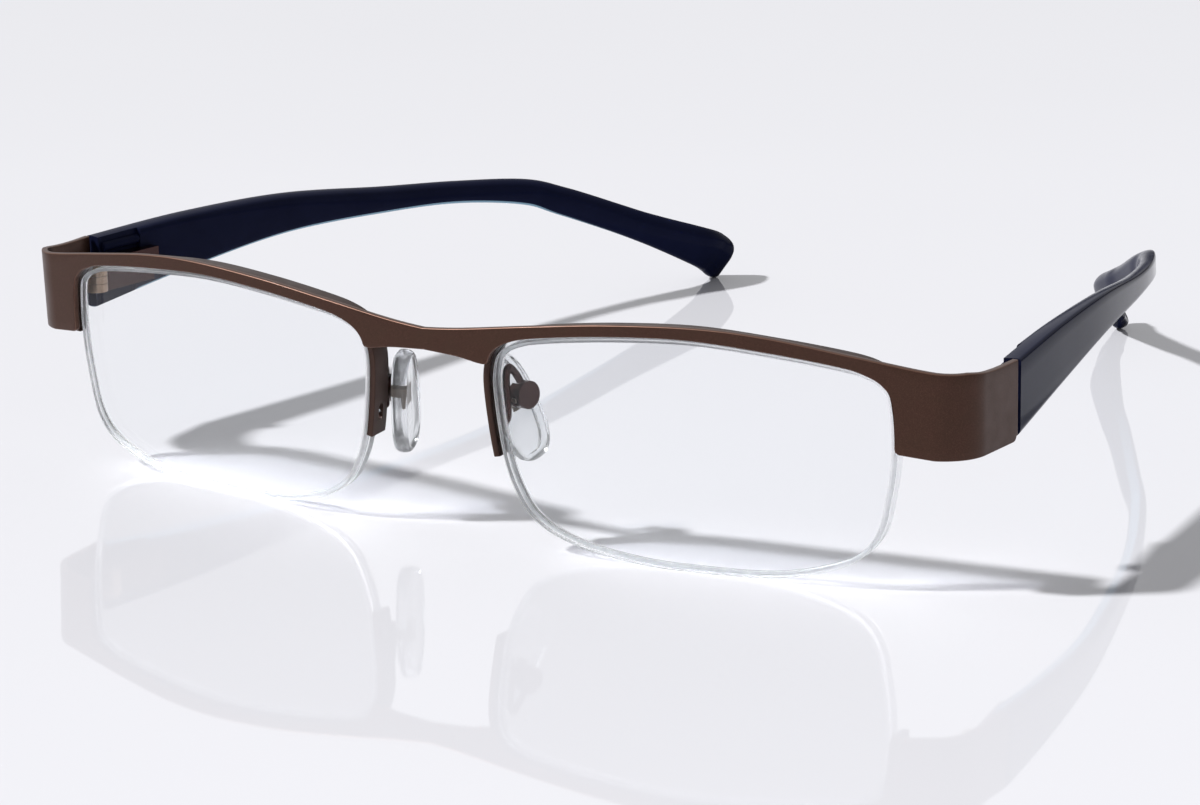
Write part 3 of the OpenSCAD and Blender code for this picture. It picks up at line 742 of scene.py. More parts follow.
class Kit:
    """Puts meshes into the scene, on their bodies and in place of their nodes."""

    def __init__(self, frame: dict[str, Any], finishes: Finishes) -> None:
        """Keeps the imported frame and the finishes.

        Args:
            frame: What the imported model's loading gave.
            finishes: The scene's materials.
        """
        self.frame = frame
        self.finishes = finishes

    def rings(
        self,
        name: str,
        rings: np.ndarray,
        *,
        sharp: float = 40.0,
        marks: dict[str, np.ndarray] | None = None,
    ) -> bpy.types.Object:
        """Closed skin over a row of rings of points.

        Four-sided faces join each ring to the next, and a flat face closes each end.

        Args:
            name: Name of the new object.
            rings: Points in metres, (n, m, 3).
            sharp: Angle in degrees above which an edge stays sharp.
            marks: Shares at each point, (n, m), by the names that the finish reads.

        Returns:
            The new object, not yet placed on a body.
        """
        n, m = rings.shape[:2]
        faces = grid_faces(n, m, True).tolist()
        caps = [list(range(m - 1, -1, -1)), list(range((n - 1) * m, n * m))]
        return self.mesh(name, rings.reshape(-1, 3), faces + caps, sharp, marks)

    def mesh(
        self,
        name: str,
        points: np.ndarray,
        faces: list[list[int]],
        sharp: float = 40.0,
        marks: dict[str, np.ndarray] | None = None,
    ) -> bpy.types.Object:
        """New object from points and faces, doubles merged and faces turned outwards.

        Args:
            name: Name of the new object.
            points: Points in metres, (n, 3).
            faces: Point numbers of each face.
            sharp: Angle in degrees above which an edge stays sharp.
            marks: Shares at each point by the names that the finish reads, or None.

        Returns:
            The new object, not yet placed on a body.
        """
        data = bpy.data.meshes.new(name)
        data.from_pydata(points.tolist(), [], faces)
        for mark, shares in (marks or {}).items():
            values = data.attributes.new(mark, "FLOAT", "POINT").data
            values.foreach_set("value", shares.astype(np.float32).ravel())
        self.closed(data, sharp)
        piece = bpy.data.objects.new(name, data)
        bpy.context.scene.collection.objects.link(piece)
        return piece

    @staticmethod
    def closed(data: bpy.types.Mesh, sharp: float) -> None:
        """Merges doubles, turns faces outwards and marks smooth and sharp edges.

        Args:
            data: Mesh that is changed.
            sharp: Angle in degrees above which an edge stays sharp.
        """
        work = bmesh.new()
        work.from_mesh(data)
        bmesh.ops.remove_doubles(work, verts=work.verts, dist=MERGE_M)
        bmesh.ops.recalc_face_normals(work, faces=work.faces)
        work.to_mesh(data)
        work.free()
        data.polygons.foreach_set("use_smooth", np.ones(len(data.polygons), bool))
        data.set_sharp_from_angle(angle=math.radians(sharp))

    def node_copy(self, node: str, bevel: float, sharp: float = 35.0) -> bpy.types.Object:
        """Copy of a hard node's own shape with its edges slightly rounded.

        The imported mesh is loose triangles: they are merged, flat areas are joined
        and a bevel goes round every sharp edge, of more steps where it is wide.

        Args:
            node: Name of the node.
            bevel: Width of the rounding, in millimetres.
            sharp: Angle in degrees above which an edge is rounded.

        Returns:
            The new object, not yet placed on a body.
        """
        data = self.frame["nodes"][node].data.copy()
        data.name = node + "_shape"
        data.materials.clear()
        work = bmesh.new()
        work.from_mesh(data)
        bmesh.ops.remove_doubles(work, verts=work.verts, dist=PACKED_MERGE_M)
        bmesh.ops.dissolve_limit(
            work, angle_limit=math.radians(FLAT_DEGREES), verts=work.verts, edges=work.edges, delimit=set()
        )
        bmesh.ops.recalc_face_normals(work, faces=work.faces)
        work.to_mesh(data)
        work.free()
        data.polygons.foreach_set("use_smooth", np.ones(len(data.polygons), bool))
        data.set_sharp_from_angle(angle=math.radians(sharp))
        piece = bpy.data.objects.new(node + "_shape", data)
        bpy.context.scene.collection.objects.link(piece)
        rounding = piece.modifiers.new("rounded edges", "BEVEL")
        rounding.width = bevel * MM
        rounding.segments = 2 if bevel < WIDE_BEVEL_MM else 4
        rounding.limit_method = "ANGLE"
        rounding.angle_limit = math.radians(sharp)
        rounding.harden_normals = True
        return piece

    def cut(self, piece: bpy.types.Object, cutters: list[bpy.types.Object], sharp: float = 35.0) -> None:
        """Takes the cutters' volumes out of a piece, for good, and removes the cutters.

        Args:
            piece: Object that is cut.
            cutters: Closed objects whose volume goes.
            sharp: Angle in degrees above which an edge stays sharp afterwards.
        """
        for number, cutter in enumerate(cutters):
            step = piece.modifiers.new(f"cut {number}", "BOOLEAN")
            step.operation = "DIFFERENCE"
            step.solver = "EXACT"
            step.object = cutter
        bpy.context.view_layer.update()
        graph = bpy.context.evaluated_depsgraph_get()
        result = bpy.data.meshes.new_from_object(piece.evaluated_get(graph))
        piece.modifiers.clear()
        piece.data = result
        for cutter in cutters:
            bpy.data.objects.remove(cutter)
        self.closed(piece.data, sharp)

    def place(
        self,
        piece: bpy.types.Object,
        nodes: tuple[str, ...],
        body: str,
        material: bpy.types.Material,
        slot: str,
    ) -> None:
        """Gives a piece its finish, its body and the nodes that it stands for.

        Args:
            piece: The finished object.
            nodes: Nodes that it replaces.
            body: Body that it moves with.
            material: Its material.
            slot: The record's slot for its finish; not used.
        """
        piece.data.materials.clear()
        piece.data.materials.append(material)
        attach(piece, body)
        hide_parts(*nodes)
        LOG.info("%-22s %6d points on %s", piece.name, len(piece.data.vertices), body)

    def dress(self, node: str, material: bpy.types.Material) -> None:
        """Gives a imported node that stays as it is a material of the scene.

        Args:
            node: Name of the node.
            material: Its material.
        """
        data = self.frame["nodes"][node].data
        data.materials.clear()
        data.materials.append(material)
        LOG.info("%-22s keeps its packed shape", node)


# Shape of the front


@dataclass(frozen=True)
class FrontShape:
    """Lens outline, bow and lean, which every piece of the front follows."""

    # Width, height and thickness of a lens, and the gap between both at the nose.
    lens_w: float = 50.2
    lens_h: float = 28.8
    lens_t: float = 3.0
    nose_gap: float = 18.4
    # Width of an end piece beside its lens, radius of the front's bow, and its lean.
    end_w: float = 9.7
    bow_r: float = 259.0
    lean: float = math.radians(3)
    # Depth of the whole's middle, which is at zero in the shared frame.
    middle_y: float = 70.925
    # Thickness of the plate, and depth of the rims behind it.
    plate_t: float = 0.8
    rim_depth: float = 3.1
    # Gap between a lens and its rim, and thickness of the rim.
    lens_gap: float = 0.45
    rim_t: float = 0.85
    # How far the plate's cut-out stands off a lens, and height of the bar over it.
    cut_margin: float = 0.5
    bar_h: float = 1.55
    # How far the bridge's top lies under the plate's, and the bridge's height.
    bridge_drop: float = 3.65
    bridge_h: float = 2.75
    # The same of an end piece, and the depth at which it ends.
    end_drop: float = 4.0
    end_h: float = 10.0
    end_depth: float = 21.5
    # Radius of the bend before an end piece, and the angle at which that splays out.
    bend_r: float = 6.2
    end_splay: float = math.radians(4)
    # Height above the floor that stays at its depth when the front leans.
    still_z: float = 20.0
    # Steps between two given points of the outline.
    steps: int = 12

    # Outline of a lens round its middle, anticlockwise from its lowest point.
    SHAPE = (
        (1.8, -14.4), (7.8, -14.3), (11.8, -13.9), (15.8, -13), (19.8, -11.5), (22, -9.8),
        (23.5, -7.2), (24.3, -3.5), (24.9, 0.6), (25.05, 4.9), (24.7, 9.2), (23.9, 10.7),
        (22.3, 11.7), (19.2, 12.6), (10.7, 13.7), (0.8, 14.4), (-9.2, 13.9), (-18.2, 12.8),
        (-22, 11.9), (-24.1, 10.6), (-24.9, 8.6), (-25.05, 5.8), (-24.5, 0.4), (-23.8, -3.4),
        (-22.6, -6.7), (-20.7, -9.7), (-17.4, -11.9), (-12.2, -13.4), (-5.2, -14.3),
    )  # fmt: skip

    @property
    def lens_x(self) -> float:
        """Middle of the left lens along X."""
        return (self.nose_gap + self.lens_w) / 2

    @property
    def lens_z(self) -> float:
        """Middle of a lens above the floor."""
        return self.lens_h / 2

    @property
    def half_w(self) -> float:
        """Half of the front's width."""
        return self.nose_gap / 2 + self.lens_w + self.end_w

    @property
    def rim_y(self) -> float:
        """Depth of the rims' front behind the plate's outer surface."""
        return self.plate_t + 0.01

    @property
    def groove_y(self) -> float:
        """Depth of the middle of the lenses' grooves."""
        return self.rim_y + self.rim_depth / 2

    @property
    def lens_y(self) -> float:
        """Depth of the lenses' front."""
        return self.groove_y - self.lens_t / 2

    @property
    def plate_top(self) -> float:
        """Height of the plate's top edge over a lens."""
        return self.lens_h + self.cut_margin + self.bar_h

    @property
    def bridge_top(self) -> float:
        """Height of the bridge's top edge."""
        return self.plate_top - self.bridge_drop

    @property
    def end_top(self) -> float:
        """Height of an end piece's top edge."""
        return self.plate_top - self.end_drop

    @property
    def end_bottom(self) -> float:
        """Height of an end piece's lower edge."""
        return self.end_top - self.end_h

    @property
    def tip_z(self) -> float:
        """Height at which the plate ends beside the nose."""
        return self.bridge_top - self.bridge_h - 1.1

    @cached_property
    def foot_y(self) -> float:
        """Depth of the lenses' lowest line, about which the front leans."""
        return float(self.bow(self.lens_x)) + self.lens_y

    @cached_property
    def outline(self) -> np.ndarray:
        """Outline of the left lens in X and Z, a smooth closed curve.

        Returns:
            Points, (29 * steps, 2), scaled from the given shape to the lens's size.
        """
        shape = np.array(self.SHAPE)
        size = shape.max(0) - shape.min(0)
        around = spline(shape, self.steps, closed=True)
        return around * [self.lens_w / size[0], self.lens_h / size[1]] + [self.lens_x, self.lens_z]

    @cached_property
    def outward(self) -> np.ndarray:
        """Outward direction at each point of the outline."""
        along = np.roll(self.outline, -1, axis=0) - np.roll(self.outline, 1, axis=0)
        return unit(np.stack([along[:, 1], -along[:, 0]], 1))

    def bow(self, x: float | np.ndarray) -> float | np.ndarray:
        """Depth of the plate's outer surface at x: bow_r - sqrt(bow_r^2 - x^2)."""
        return self.bow_r - np.sqrt(self.bow_r**2 - np.square(x))

    def upper(self, nose_z: float, side_z: float) -> tuple[int, int]:
        """First and last step of the outline above one height at the nose and one at the side.

        Only the outline's given quarter points are looked at, as in the model.

        Args:
            nose_z: Height beside the nose.
            side_z: Height at the temple side.

        Returns:
            Numbers of the first and last step.
        """
        stride = self.steps // 4
        coarse = self.outline[::stride]
        limit = np.where(coarse[:, 0] < self.lens_x, nose_z, side_z)
        kept = np.nonzero(coarse[:, 1] > limit)[0]
        return int(kept[0]) * stride, int(kept[-1]) * stride

    def beside(self, steps: np.ndarray, out: float | np.ndarray, depth: float | np.ndarray) -> np.ndarray:
        """Points beside the outline: moved outward, set back and bowed.

        Args:
            steps: Numbers of the outline's steps.
            out: Distance outward, of a shape that goes with the steps.
            depth: Depth behind the plate's outer surface, likewise.

        Returns:
            Points in the front's own space, the common shape with 3 behind it.
        """
        k, out, depth = np.broadcast_arrays(np.asarray(steps) % len(self.outline), out, depth)
        flat = self.outline[k] + self.outward[k] * out[..., None]
        return np.stack([flat[..., 0], depth + self.bow(flat[..., 0]), flat[..., 1]], -1)

    def stand(self, points: np.ndarray, side: Side) -> np.ndarray:
        """Leans points of the front, mirrors them to a side and turns them to metres.

        The lean turns about the lenses' lowest line: y becomes y cos - z sin, and
        z becomes y sin + z cos; the middle of the front then moves back again.

        Args:
            points: Points in the front's own space, in millimetres, (..., 3).
            side: Side on which they stand.

        Returns:
            Points in metres in the whole's frame.
        """
        x, y, z = np.moveaxis(points, -1, 0)
        back = self.lean_y(y, z) - self.middle_y
        height = (y - self.foot_y) * math.sin(self.lean) + z * math.cos(self.lean)
        return np.stack([x * side.value, back, height], -1) * MM

    def unlean_z(self, y: np.ndarray, z: np.ndarray) -> np.ndarray:
        """Height in the front's own space of points at depth y and height z in the whole."""
        back = y - self.foot_y - self.still_z * math.sin(self.lean)
        return -back * math.sin(self.lean) + z * math.cos(self.lean)

    def lean_y(self, y: np.ndarray, z: float | np.ndarray) -> np.ndarray:
        """Depth in the whole of points at depth y and height z in the front's own space."""
        turned = (y - self.foot_y) * math.cos(self.lean) - (z - self.still_z) * math.sin(self.lean)
        return turned + self.foot_y


# Brow plate


@dataclass
class BrowPlate:
    """The stamped plate over both lenses, bent back at its two ends."""

    shape: FrontShape
    # Roundings of the border's edges, and of an end's lower rear corner; the upper
    # rear corner's is half as large.
    edge_r: float = 0.15
    end_corner: float = 0.8
    # How far an end's lower line starts above its rear part, and the plan's spare length.
    low_rise: float = 0.2
    spare: float = 2.0
    # Depth, and length along the plan, from which an end has its own upper line.
    end_from_y: float = 8.0
    end_from: float = 55.0
    # Rows and columns of the skin, and points of a border before they are evened.
    rows: int = 9
    columns: int = 340
    samples: int = 900
    # Share at which a border's height counts when its points are spread.
    height_weight: float = 0.25

    # Depth in the whole and rise of an end's upper line over its straight rear part.
    RISE = ((8, 0.87), (9, 0.8), (10, 0.68), (11, 0.54), (12.5, 0.34), (14, 0.18), (16, 0.05), (18, 0))

    def plan(self) -> tuple[np.ndarray, np.ndarray, np.ndarray]:
        """Plan of the outer surface: an arc, a bend and a straight side, seen from above.

        Along the arc a point is (r sin a, r - r cos a); round the bend it is the
        bend's middle plus its radius times (cos b, sin b).

        Returns:
            Length along the plan, its points and their outward directions.
        """
        s = self.shape
        side_dir = np.array([math.sin(s.end_splay), math.cos(s.end_splay)])
        side_out = np.array([side_dir[1], -side_dir[0]])
        end = np.array([s.half_w, s.end_depth])
        inner = end @ side_out - s.bend_r
        low = inner - s.bow_r * side_out[1]
        reach = math.sqrt((s.bow_r - s.bend_r) ** 2 - low**2)
        centre = np.array([0, s.bow_r]) + side_out * low - side_dir * reach
        turn = math.atan2(centre[0], s.bow_r - centre[1])
        a = np.linspace(0, turn, 160)
        arc_n = np.stack([np.sin(a), -np.cos(a)], 1)
        arc = np.array([0, s.bow_r]) + s.bow_r * arc_n
        b = np.linspace(turn - math.pi / 2, -s.end_splay, 60)[1:]
        bend_n = np.stack([np.cos(b), np.sin(b)], 1)
        bend = centre + s.bend_r * bend_n
        straight = np.linspace(0, 1, 30)[1:, None] * (end + side_dir * self.spare - bend[-1]) + bend[-1]
        points = np.vstack([arc, bend, straight])
        normals = np.vstack([arc_n, bend_n, np.repeat(side_out[None], len(straight), 0)])
        run = np.concatenate([[0], np.cumsum(np.linalg.norm(np.diff(points, axis=0), axis=1))])
        return run, points, normals

    def borders(self) -> tuple[np.ndarray, np.ndarray]:
        """Lower and upper border of the positive half, from the middle to the rear edge.

        The upper border is the lower of the front view's curve and the end piece's
        own line; the lower one follows the arch, the lens's cut-out and the end.

        Returns:
            Both borders as rows of length along the plan and height.
        """
        s = self.shape
        run, plan, _ = self.plan()

        def depth_at(length: np.ndarray, z: float) -> np.ndarray:
            """Depth in the whole of places along the plan at one height."""
            return s.lean_y(np.interp(length, run, plan[:, 1]), z)

        def length_at(x: float | np.ndarray) -> float | np.ndarray:
            """Length along the plan at x."""
            return np.interp(x, plan[:, 0], run)

        # The front view's upper line rises from the bridge to the lens and falls to the end.
        x = s.lens_x
        top = spline(
            [
                [0, s.bridge_top],
                [x * 0.15, s.bridge_top + s.bridge_drop * 0.14],
                [x * 0.44, s.bridge_top + s.bridge_drop * 0.52],
                [x * 0.73, s.bridge_top + s.bridge_drop * 0.84],
                [x * 1.05, s.plate_top],
                [x * 1.31, s.plate_top - s.end_drop * 0.11],
                [x * 1.61, s.plate_top - s.end_drop * 0.49],
                [s.half_w - 5, s.end_top + 0.6],
                [s.half_w + 3, s.end_top - 0.1],
            ],
            steps=24,
        )
        # Length along the plan at which the rear edge comes, for the end's mid height.
        behind = run > self.end_from
        depths = depth_at(run, (s.end_top + s.end_bottom) / 2)
        rear = float(np.interp(s.end_depth, depths[behind], run[behind]))
        length = np.linspace(0, rear, self.samples)
        xs, ys = np.interp(length, run, plan[:, 0]), np.interp(length, run, plan[:, 1])
        front_top = np.interp(xs, top[:, 0], top[:, 1])
        # The end piece's upper line in the whole's frame, with its rounded rear corner.
        r = self.end_corner / 2
        turn = np.radians(np.linspace(0, 90, 8))
        back = s.end_depth
        rise_y, rise = np.array(self.RISE).T
        line_y = np.concatenate([rise_y, back - r + r * np.sin(turn)])
        line_z = np.concatenate([s.end_top + rise, s.end_top - r + r * np.cos(turn)])
        whole_y = s.lean_y(ys, front_top)
        side_top = s.unlean_z(whole_y, np.interp(whole_y, line_y, line_z))
        at_end = (whole_y > self.end_from_y) & (length > self.end_from)
        upper_rows = np.stack([length, np.where(at_end, np.minimum(front_top, side_top), front_top)], 1)
        # Lower border: arch, cut-out, foot, then the end piece's lower line.
        first, last = s.upper(s.tip_z, s.end_bottom + 1)
        steps = np.arange(last, first - 1, -1)
        cut = s.outline[steps] + s.outward[steps] * s.cut_margin
        arch_z = s.bridge_top - s.bridge_h
        arch = spline(
            [
                [0, arch_z],
                [s.nose_gap * 0.25, arch_z - 0.3],
                [s.nose_gap * 0.4, arch_z - 0.75],
                cut[0] - [0.6, 0.1],
            ],
            steps=8,
        )
        foot = np.array([[cut[-1][0] - 0.05, s.end_bottom + 0.85], [cut[-1][0] + 0.45, s.end_bottom + 0.45]])
        tail = np.linspace(float(length_at(s.half_w - 4.6)), rear, 160)
        tail_y = depth_at(tail, s.end_bottom)
        c = self.end_corner
        turn = np.radians(np.linspace(0, 90, 10))
        low_line_y = np.concatenate([[self.end_from_y], back - c + c * np.sin(turn)])
        low_line_z = np.concatenate([[s.end_bottom + self.low_rise], s.end_bottom + c - c * np.cos(turn)])
        tail_z = s.unlean_z(tail_y, np.interp(tail_y, low_line_y, low_line_z))
        flat = np.vstack([arch, cut, foot])
        flat_rows = np.stack([length_at(flat[:, 0]), flat[:, 1]], 1)
        return np.vstack([flat_rows, np.stack([tail, tail_z], 1)]), upper_rows

    def build(self, kit: Kit) -> None:
        """Makes the plate's skin from its two borders.

        Both borders are cut into as many stretches; straight lines between their
        points carry the rows. Rings of quarter circles round the border join the
        outer and the inner surface.

        Args:
            kit: Puts the piece into the scene.
        """
        s = self.shape
        run, plan, normals = self.plan()
        low, high = self.borders()

        def even(border: np.ndarray) -> np.ndarray:
            """Points at even shares of a border's length, which counts height less.

            Args:
                border: Rows of length along the plan and height.

            Returns:
                As many such rows as the skin has columns.
            """
            step = np.abs(np.diff(border, axis=0))
            way = np.concatenate([[0], np.cumsum(step[:, 0] + self.height_weight * step[:, 1])])
            share = way / way[-1]
            keep = np.concatenate([[True], np.diff(share) > 1e-9])
            at = np.linspace(0, 1, self.columns)
            return np.stack([np.interp(at, share[keep], border[keep, k]) for k in (0, 1)], 1)

        low, high = even(low), even(high)
        half = low[None] + (high - low)[None] * np.linspace(0, 1, self.rows)[:, None, None]
        full = np.concatenate([half[:, :0:-1] * [-1, 1], half], axis=1)
        rows, cols = full.shape[:2]
        loop = np.concatenate([full[0, :-1], full[:-1, -1], full[-1, :0:-1], full[:0:-1, 0]])
        along = unit(np.roll(loop, -1, axis=0) - np.roll(loop, 1, axis=0))
        inward = np.stack([-along[:, 1], along[:, 0]], 1)
        inset = loop + inward * self.edge_r

        def solid(flat: np.ndarray, depth: float) -> np.ndarray:
            """Points of the plan-and-height plane at a depth behind the outer surface.

            Args:
                flat: Length along the plan, negative on the right, and height, (..., 2).
                depth: Distance behind the outer surface, against its outward direction.

            Returns:
                Points in metres, (..., 3).
            """
            length = np.abs(flat[..., 0])
            nx, ny = (np.interp(length, run, normals[:, k]) for k in (0, 1))
            x = np.interp(length, run, plan[:, 0]) - nx * depth
            y = np.interp(length, run, plan[:, 1]) - ny * depth
            return s.stand(np.stack([x * np.where(flat[..., 0] < 0, -1, 1), y, flat[..., 1]], -1), Side.LEFT)

        # The grid's border points move in by the edge's radius.
        moved = full.copy()
        moved[0, :-1], rest = inset[: cols - 1], inset[cols - 1 :]
        moved[:-1, -1], rest = rest[: rows - 1], rest[rows - 1 :]
        moved[-1, :0:-1], rest = rest[: cols - 1], rest[cols - 1 :]
        moved[:0:-1, 0] = rest
        index = np.arange(rows * cols).reshape(rows, cols)
        border = np.concatenate([index[0, :-1], index[:-1, -1], index[-1, :0:-1], index[:0:-1, 0]])
        turn = np.radians([30, 60, 90])
        sunk = self.edge_r * (1 - np.cos(turn))
        depths = np.concatenate([sunk, s.plate_t - sunk[::-1]])
        insets = self.edge_r * (1 - np.sin(np.concatenate([turn, turn[::-1]])))
        count = len(loop)
        points = [solid(moved, 0.0).reshape(-1, 3), solid(moved, s.plate_t).reshape(-1, 3)]
        points += [solid(loop + inward * i, d) for i, d in zip(insets, depths)]
        size = rows * cols
        around = np.arange(count)
        chain = [border] + [2 * size + k * count + around for k in range(len(depths))] + [border + size]
        faces = [grid_faces(rows, cols, False), grid_faces(rows, cols, False) + size]
        faces += [np.stack([a, np.roll(a, -1), np.roll(b, -1), b], 1) for a, b in zip(chain[:-1], chain[1:])]
        # Rosy edge colour on the six rings round the border, partly rubbed-through lacquer, partly painted
        # highlight; the outer and inner surface have none.
        rubbed_and_highlit_share = np.concatenate([np.zeros(2 * size), np.repeat([0.9, 1.0, 0.5, 0.5, 1.0, 0.9], count)])
        plate = kit.mesh(
            "brow_plate_shape",
            np.vstack(points),
            np.vstack(faces).tolist(),
            sharp=60,
            marks={"edge": rubbed_and_highlit_share},
        )
        kit.place(plate, ("brow_plate",), "front", kit.finishes.lacquer, "brown_lacquer")


# Lenses in their rims


@dataclass
class LensSet:
    """One lens with its rim, liner and nylon cord."""

    shape: FrontShape
    side: Side
    # Width of both grooves, depth of the lens's and depth of the rim's.
    groove_w: float = 0.6
    groove_d: float = 0.6
    rim_groove_d: float = 0.3
    # Heights at which the rim ends beside the nose and at the temple side.
    post_end_z: float = 11.0
    rim_end_z: float = 16.8
    # Length and width of the rim's oval holes.
    hole_l: float = 2.2
    hole_w: float = 0.9
    # Thickness of the cord, and the play of cord and liner in the grooves.
    cord_d: float = 0.5
    fit_gap: float = 0.02
    # Roundings of the rim's profile, the rim's ends and the liner's profile; the lens's bevel.
    corner: float = 0.14
    end_r: float = 0.12
    liner_corner: float = 0.1
    lens_bevel: float = 0.16
    # Width of the ring inside the lens's bevel, and rings on each of its surfaces.
    lens_rim: float = 0.05
    lens_rings: int = 14

    @property
    def ends(self) -> tuple[int, int]:
        """First and last step of the outline that the rim covers."""
        return self.shape.upper(self.post_end_z, self.rim_end_z)

    @property
    def holes(self) -> tuple[int, int]:
        """Steps of the outline at the rim's two holes.

        Returns:
            The step beside the temple and the one beside the nose.
        """
        stride = self.shape.steps // 4
        first, last = self.ends
        return first + 3 * stride, last - 3 * stride

    def rim(self, kit: Kit) -> None:
        """The grooved rim: a channel profile carried over the upper outline.

        The profile is a rectangle with rounded corners and a notch on its inner
        side; its two axes are the outward direction and the depth.

        Args:
            kit: Puts the piece into the scene.
        """
        s = self.shape
        a, b = s.lens_gap, s.lens_gap + s.rim_t
        f, g = s.rim_y, s.rim_y + s.rim_depth
        n0, n1 = s.groove_y - self.groove_w / 2, s.groove_y + self.groove_w / 2
        notch = a + self.rim_groove_d
        corners = np.array([[[a, f], [b, f], [b, g], [a, g], [a, n1], [notch, n1], [notch, n0], [a, n0]]])
        profile = rounded(corners, self.corner, steps=5)[0]
        first, last = self.ends
        rings = self.softened_ends(self.carried(np.arange(first, last + 1), profile), self.end_r)
        # A rosy edge colour, partly rubbed-through lacquer, partly painted highlight, at both ends and along
        # the outer front corner.
        rubbed_and_highlit = np.zeros(rings.shape[:2])
        rubbed_and_highlit[:3] = rubbed_and_highlit[-3:] = 0.6
        rubbed_and_highlit[:, (profile[:, 1] < f + 0.2) & (profile[:, 0] > profile[:, 0].mean())] = 0.5
        name = self.side.word + "_rim"
        rim = kit.rings(name + "_shape", s.stand(rings, self.side), sharp=50, marks={"edge": rubbed_and_highlit})
        kit.cut(rim, [self.hole(kit, step) for step in self.holes], sharp=50)
        # The rim's lacquer is darkened with painted shade.
        kit.place(rim, (name,), "front", kit.finishes.rim_lacquer_painted_shade, "brown_lacquer")

    def carried(self, steps: np.ndarray, profile: np.ndarray) -> np.ndarray:
        """The profile's points, (m, 2), at each of n steps of the outline, (n, m, 3)."""
        return self.shape.beside(steps[:, None], profile[:, 0], profile[:, 1])

    @staticmethod
    def softened_ends(rings: np.ndarray, radius: float) -> np.ndarray:
        """Rounds both ends of a swept bar.

        The end ring moves back by the radius; three more rings go out from it along a
        quarter circle while their points draw in towards the ring's middle.

        Args:
            rings: Rings of points, (n, m, 3).
            radius: Radius of the rounding.

        Returns:
            Rings with three more at each end.
        """
        turn = np.radians([90, 60, 30, 0])[:, None, None]

        def tail(end: np.ndarray, inner: np.ndarray) -> np.ndarray:
            """Four rings from the drawn-in face to the full ring.

            Args:
                end: The bar's end ring.
                inner: The ring next to it.

            Returns:
                Rings from outside inwards.
            """
            centre = end.mean(0)
            away = unit((end.mean(0) - inner.mean(0))[None])[0]
            draw = (centre - end) / np.maximum(np.linalg.norm(centre - end, axis=1, keepdims=True), 1e-9)
            start = end - away * radius
            return start + draw * radius * (1 - np.cos(turn)) + away * radius * np.sin(turn)

        return np.concatenate([tail(rings[0], rings[1]), rings[1:-1], tail(rings[-1], rings[-2])[::-1]])

    def hole(self, kit: Kit, step: int) -> bpy.types.Object:
        """Closed oval prism through the rim at one step, as a cutter.

        The oval is a circle whose two halves stand apart by the hole's spare length.

        Args:
            kit: Makes the mesh.
            step: Step of the outline.

        Returns:
            The cutter object.
        """
        s = self.shape
        a = np.linspace(0, 2 * math.pi, 32, endpoint=False)
        along = np.cos(a) * self.hole_w / 2 + np.sign(np.cos(a)) * (self.hole_l - self.hole_w) / 2
        deep = np.sin(a) * self.hole_w / 2
        k = step % len(s.outline)
        out = s.outward[k]
        tangent = np.array([-out[1], out[0]])
        centre = np.array([s.outline[k][0], float(s.bow(s.outline[k][0])) + s.groove_y, s.outline[k][1]])
        ring = centre + np.stack([tangent[0] * along, deep, tangent[1] * along], 1)
        push = np.array([out[0], 0, out[1]])
        rings = ring[None] + push * np.array([-0.5, 2.5])[:, None, None]
        return kit.rings("cutter", s.stand(rings, self.side))

    def liner(self, kit: Kit) -> None:
        """The clear liner in the grooves of rim and lens: a small bar along the outline.

        Args:
            kit: Puts the piece into the scene.
        """
        s = self.shape
        half = self.groove_w / 2 - self.fit_gap
        a, b = self.fit_gap - self.groove_d, s.lens_gap + self.rim_groove_d - self.fit_gap
        y = s.groove_y
        corners = np.array([[[a, y - half], [b, y - half], [b, y + half], [a, y + half]]])
        profile = rounded(corners, self.liner_corner, steps=3)[0]
        side_hole, post_hole = self.holes
        stride = s.steps // 4
        steps = np.arange(side_hole + 4 * stride, post_hole - 4 * stride + 1, 2)
        rings = s.stand(self.carried(steps, profile), self.side)
        piece = kit.rings(self.side.word + "_rim_liner_shape", rings)
        kit.place(piece, (self.side.word + "_rim_liner",), "front", kit.finishes.nylon, "clear_nylon")

    def lens(self, kit: Kit) -> None:
        """The lens: a polar grid front and rear, joined over bevels and a groove.

        A point is the lens's middle plus a share of the way to its edge, at the
        depth of its surface plus the bow; the edge adds rings at given insets.

        Args:
            kit: Puts the piece into the scene.
        """
        s = self.shape
        steps = np.arange(0, len(s.outline), 2)
        b = self.lens_bevel
        front, rear = s.lens_y, s.lens_y + s.lens_t
        g0, g1 = s.groove_y - self.groove_w / 2, s.groove_y + self.groove_w / 2
        inset = b + self.lens_rim
        # Distance outward and depth of each ring over the edge.
        edge = np.array([
            (-inset, front), (-b, front), (-0.3 * b, front + 0.3 * b), (0, front + b),
            (0, g0), (-self.groove_d, g0), (-self.groove_d, g1), (0, g1),
            (0, rear - b), (-0.3 * b, rear - 0.3 * b), (-b, rear), (-inset, rear),
        ])  # fmt: skip
        centre = np.array([s.lens_x, s.lens_z])
        share = np.linspace(0.08, 1, self.lens_rings)[:-1]
        inner = s.outline[steps] - s.outward[steps] * inset

        def disc(depth: float) -> np.ndarray:
            """Rings from near the middle outwards at one depth."""
            flat = centre + (inner - centre)[None] * share[:, None, None]
            return np.stack([flat[..., 0], depth + s.bow(flat[..., 0]), flat[..., 1]], -1)

        rings = np.concatenate([disc(front), s.beside(steps, edge[:, :1], edge[:, 1:]), disc(rear)[::-1]])
        ground = np.zeros(rings.shape[:2])
        ground[len(share) + 1 : -len(share) - 1] = 1
        piece = kit.rings(
            self.side.word + "_lens_shape", s.stand(rings, self.side), sharp=25, marks={"ground": ground}
        )
        kit.place(piece, (self.side.word + "_lens",), "front", kit.finishes.lens, "clear_lens")

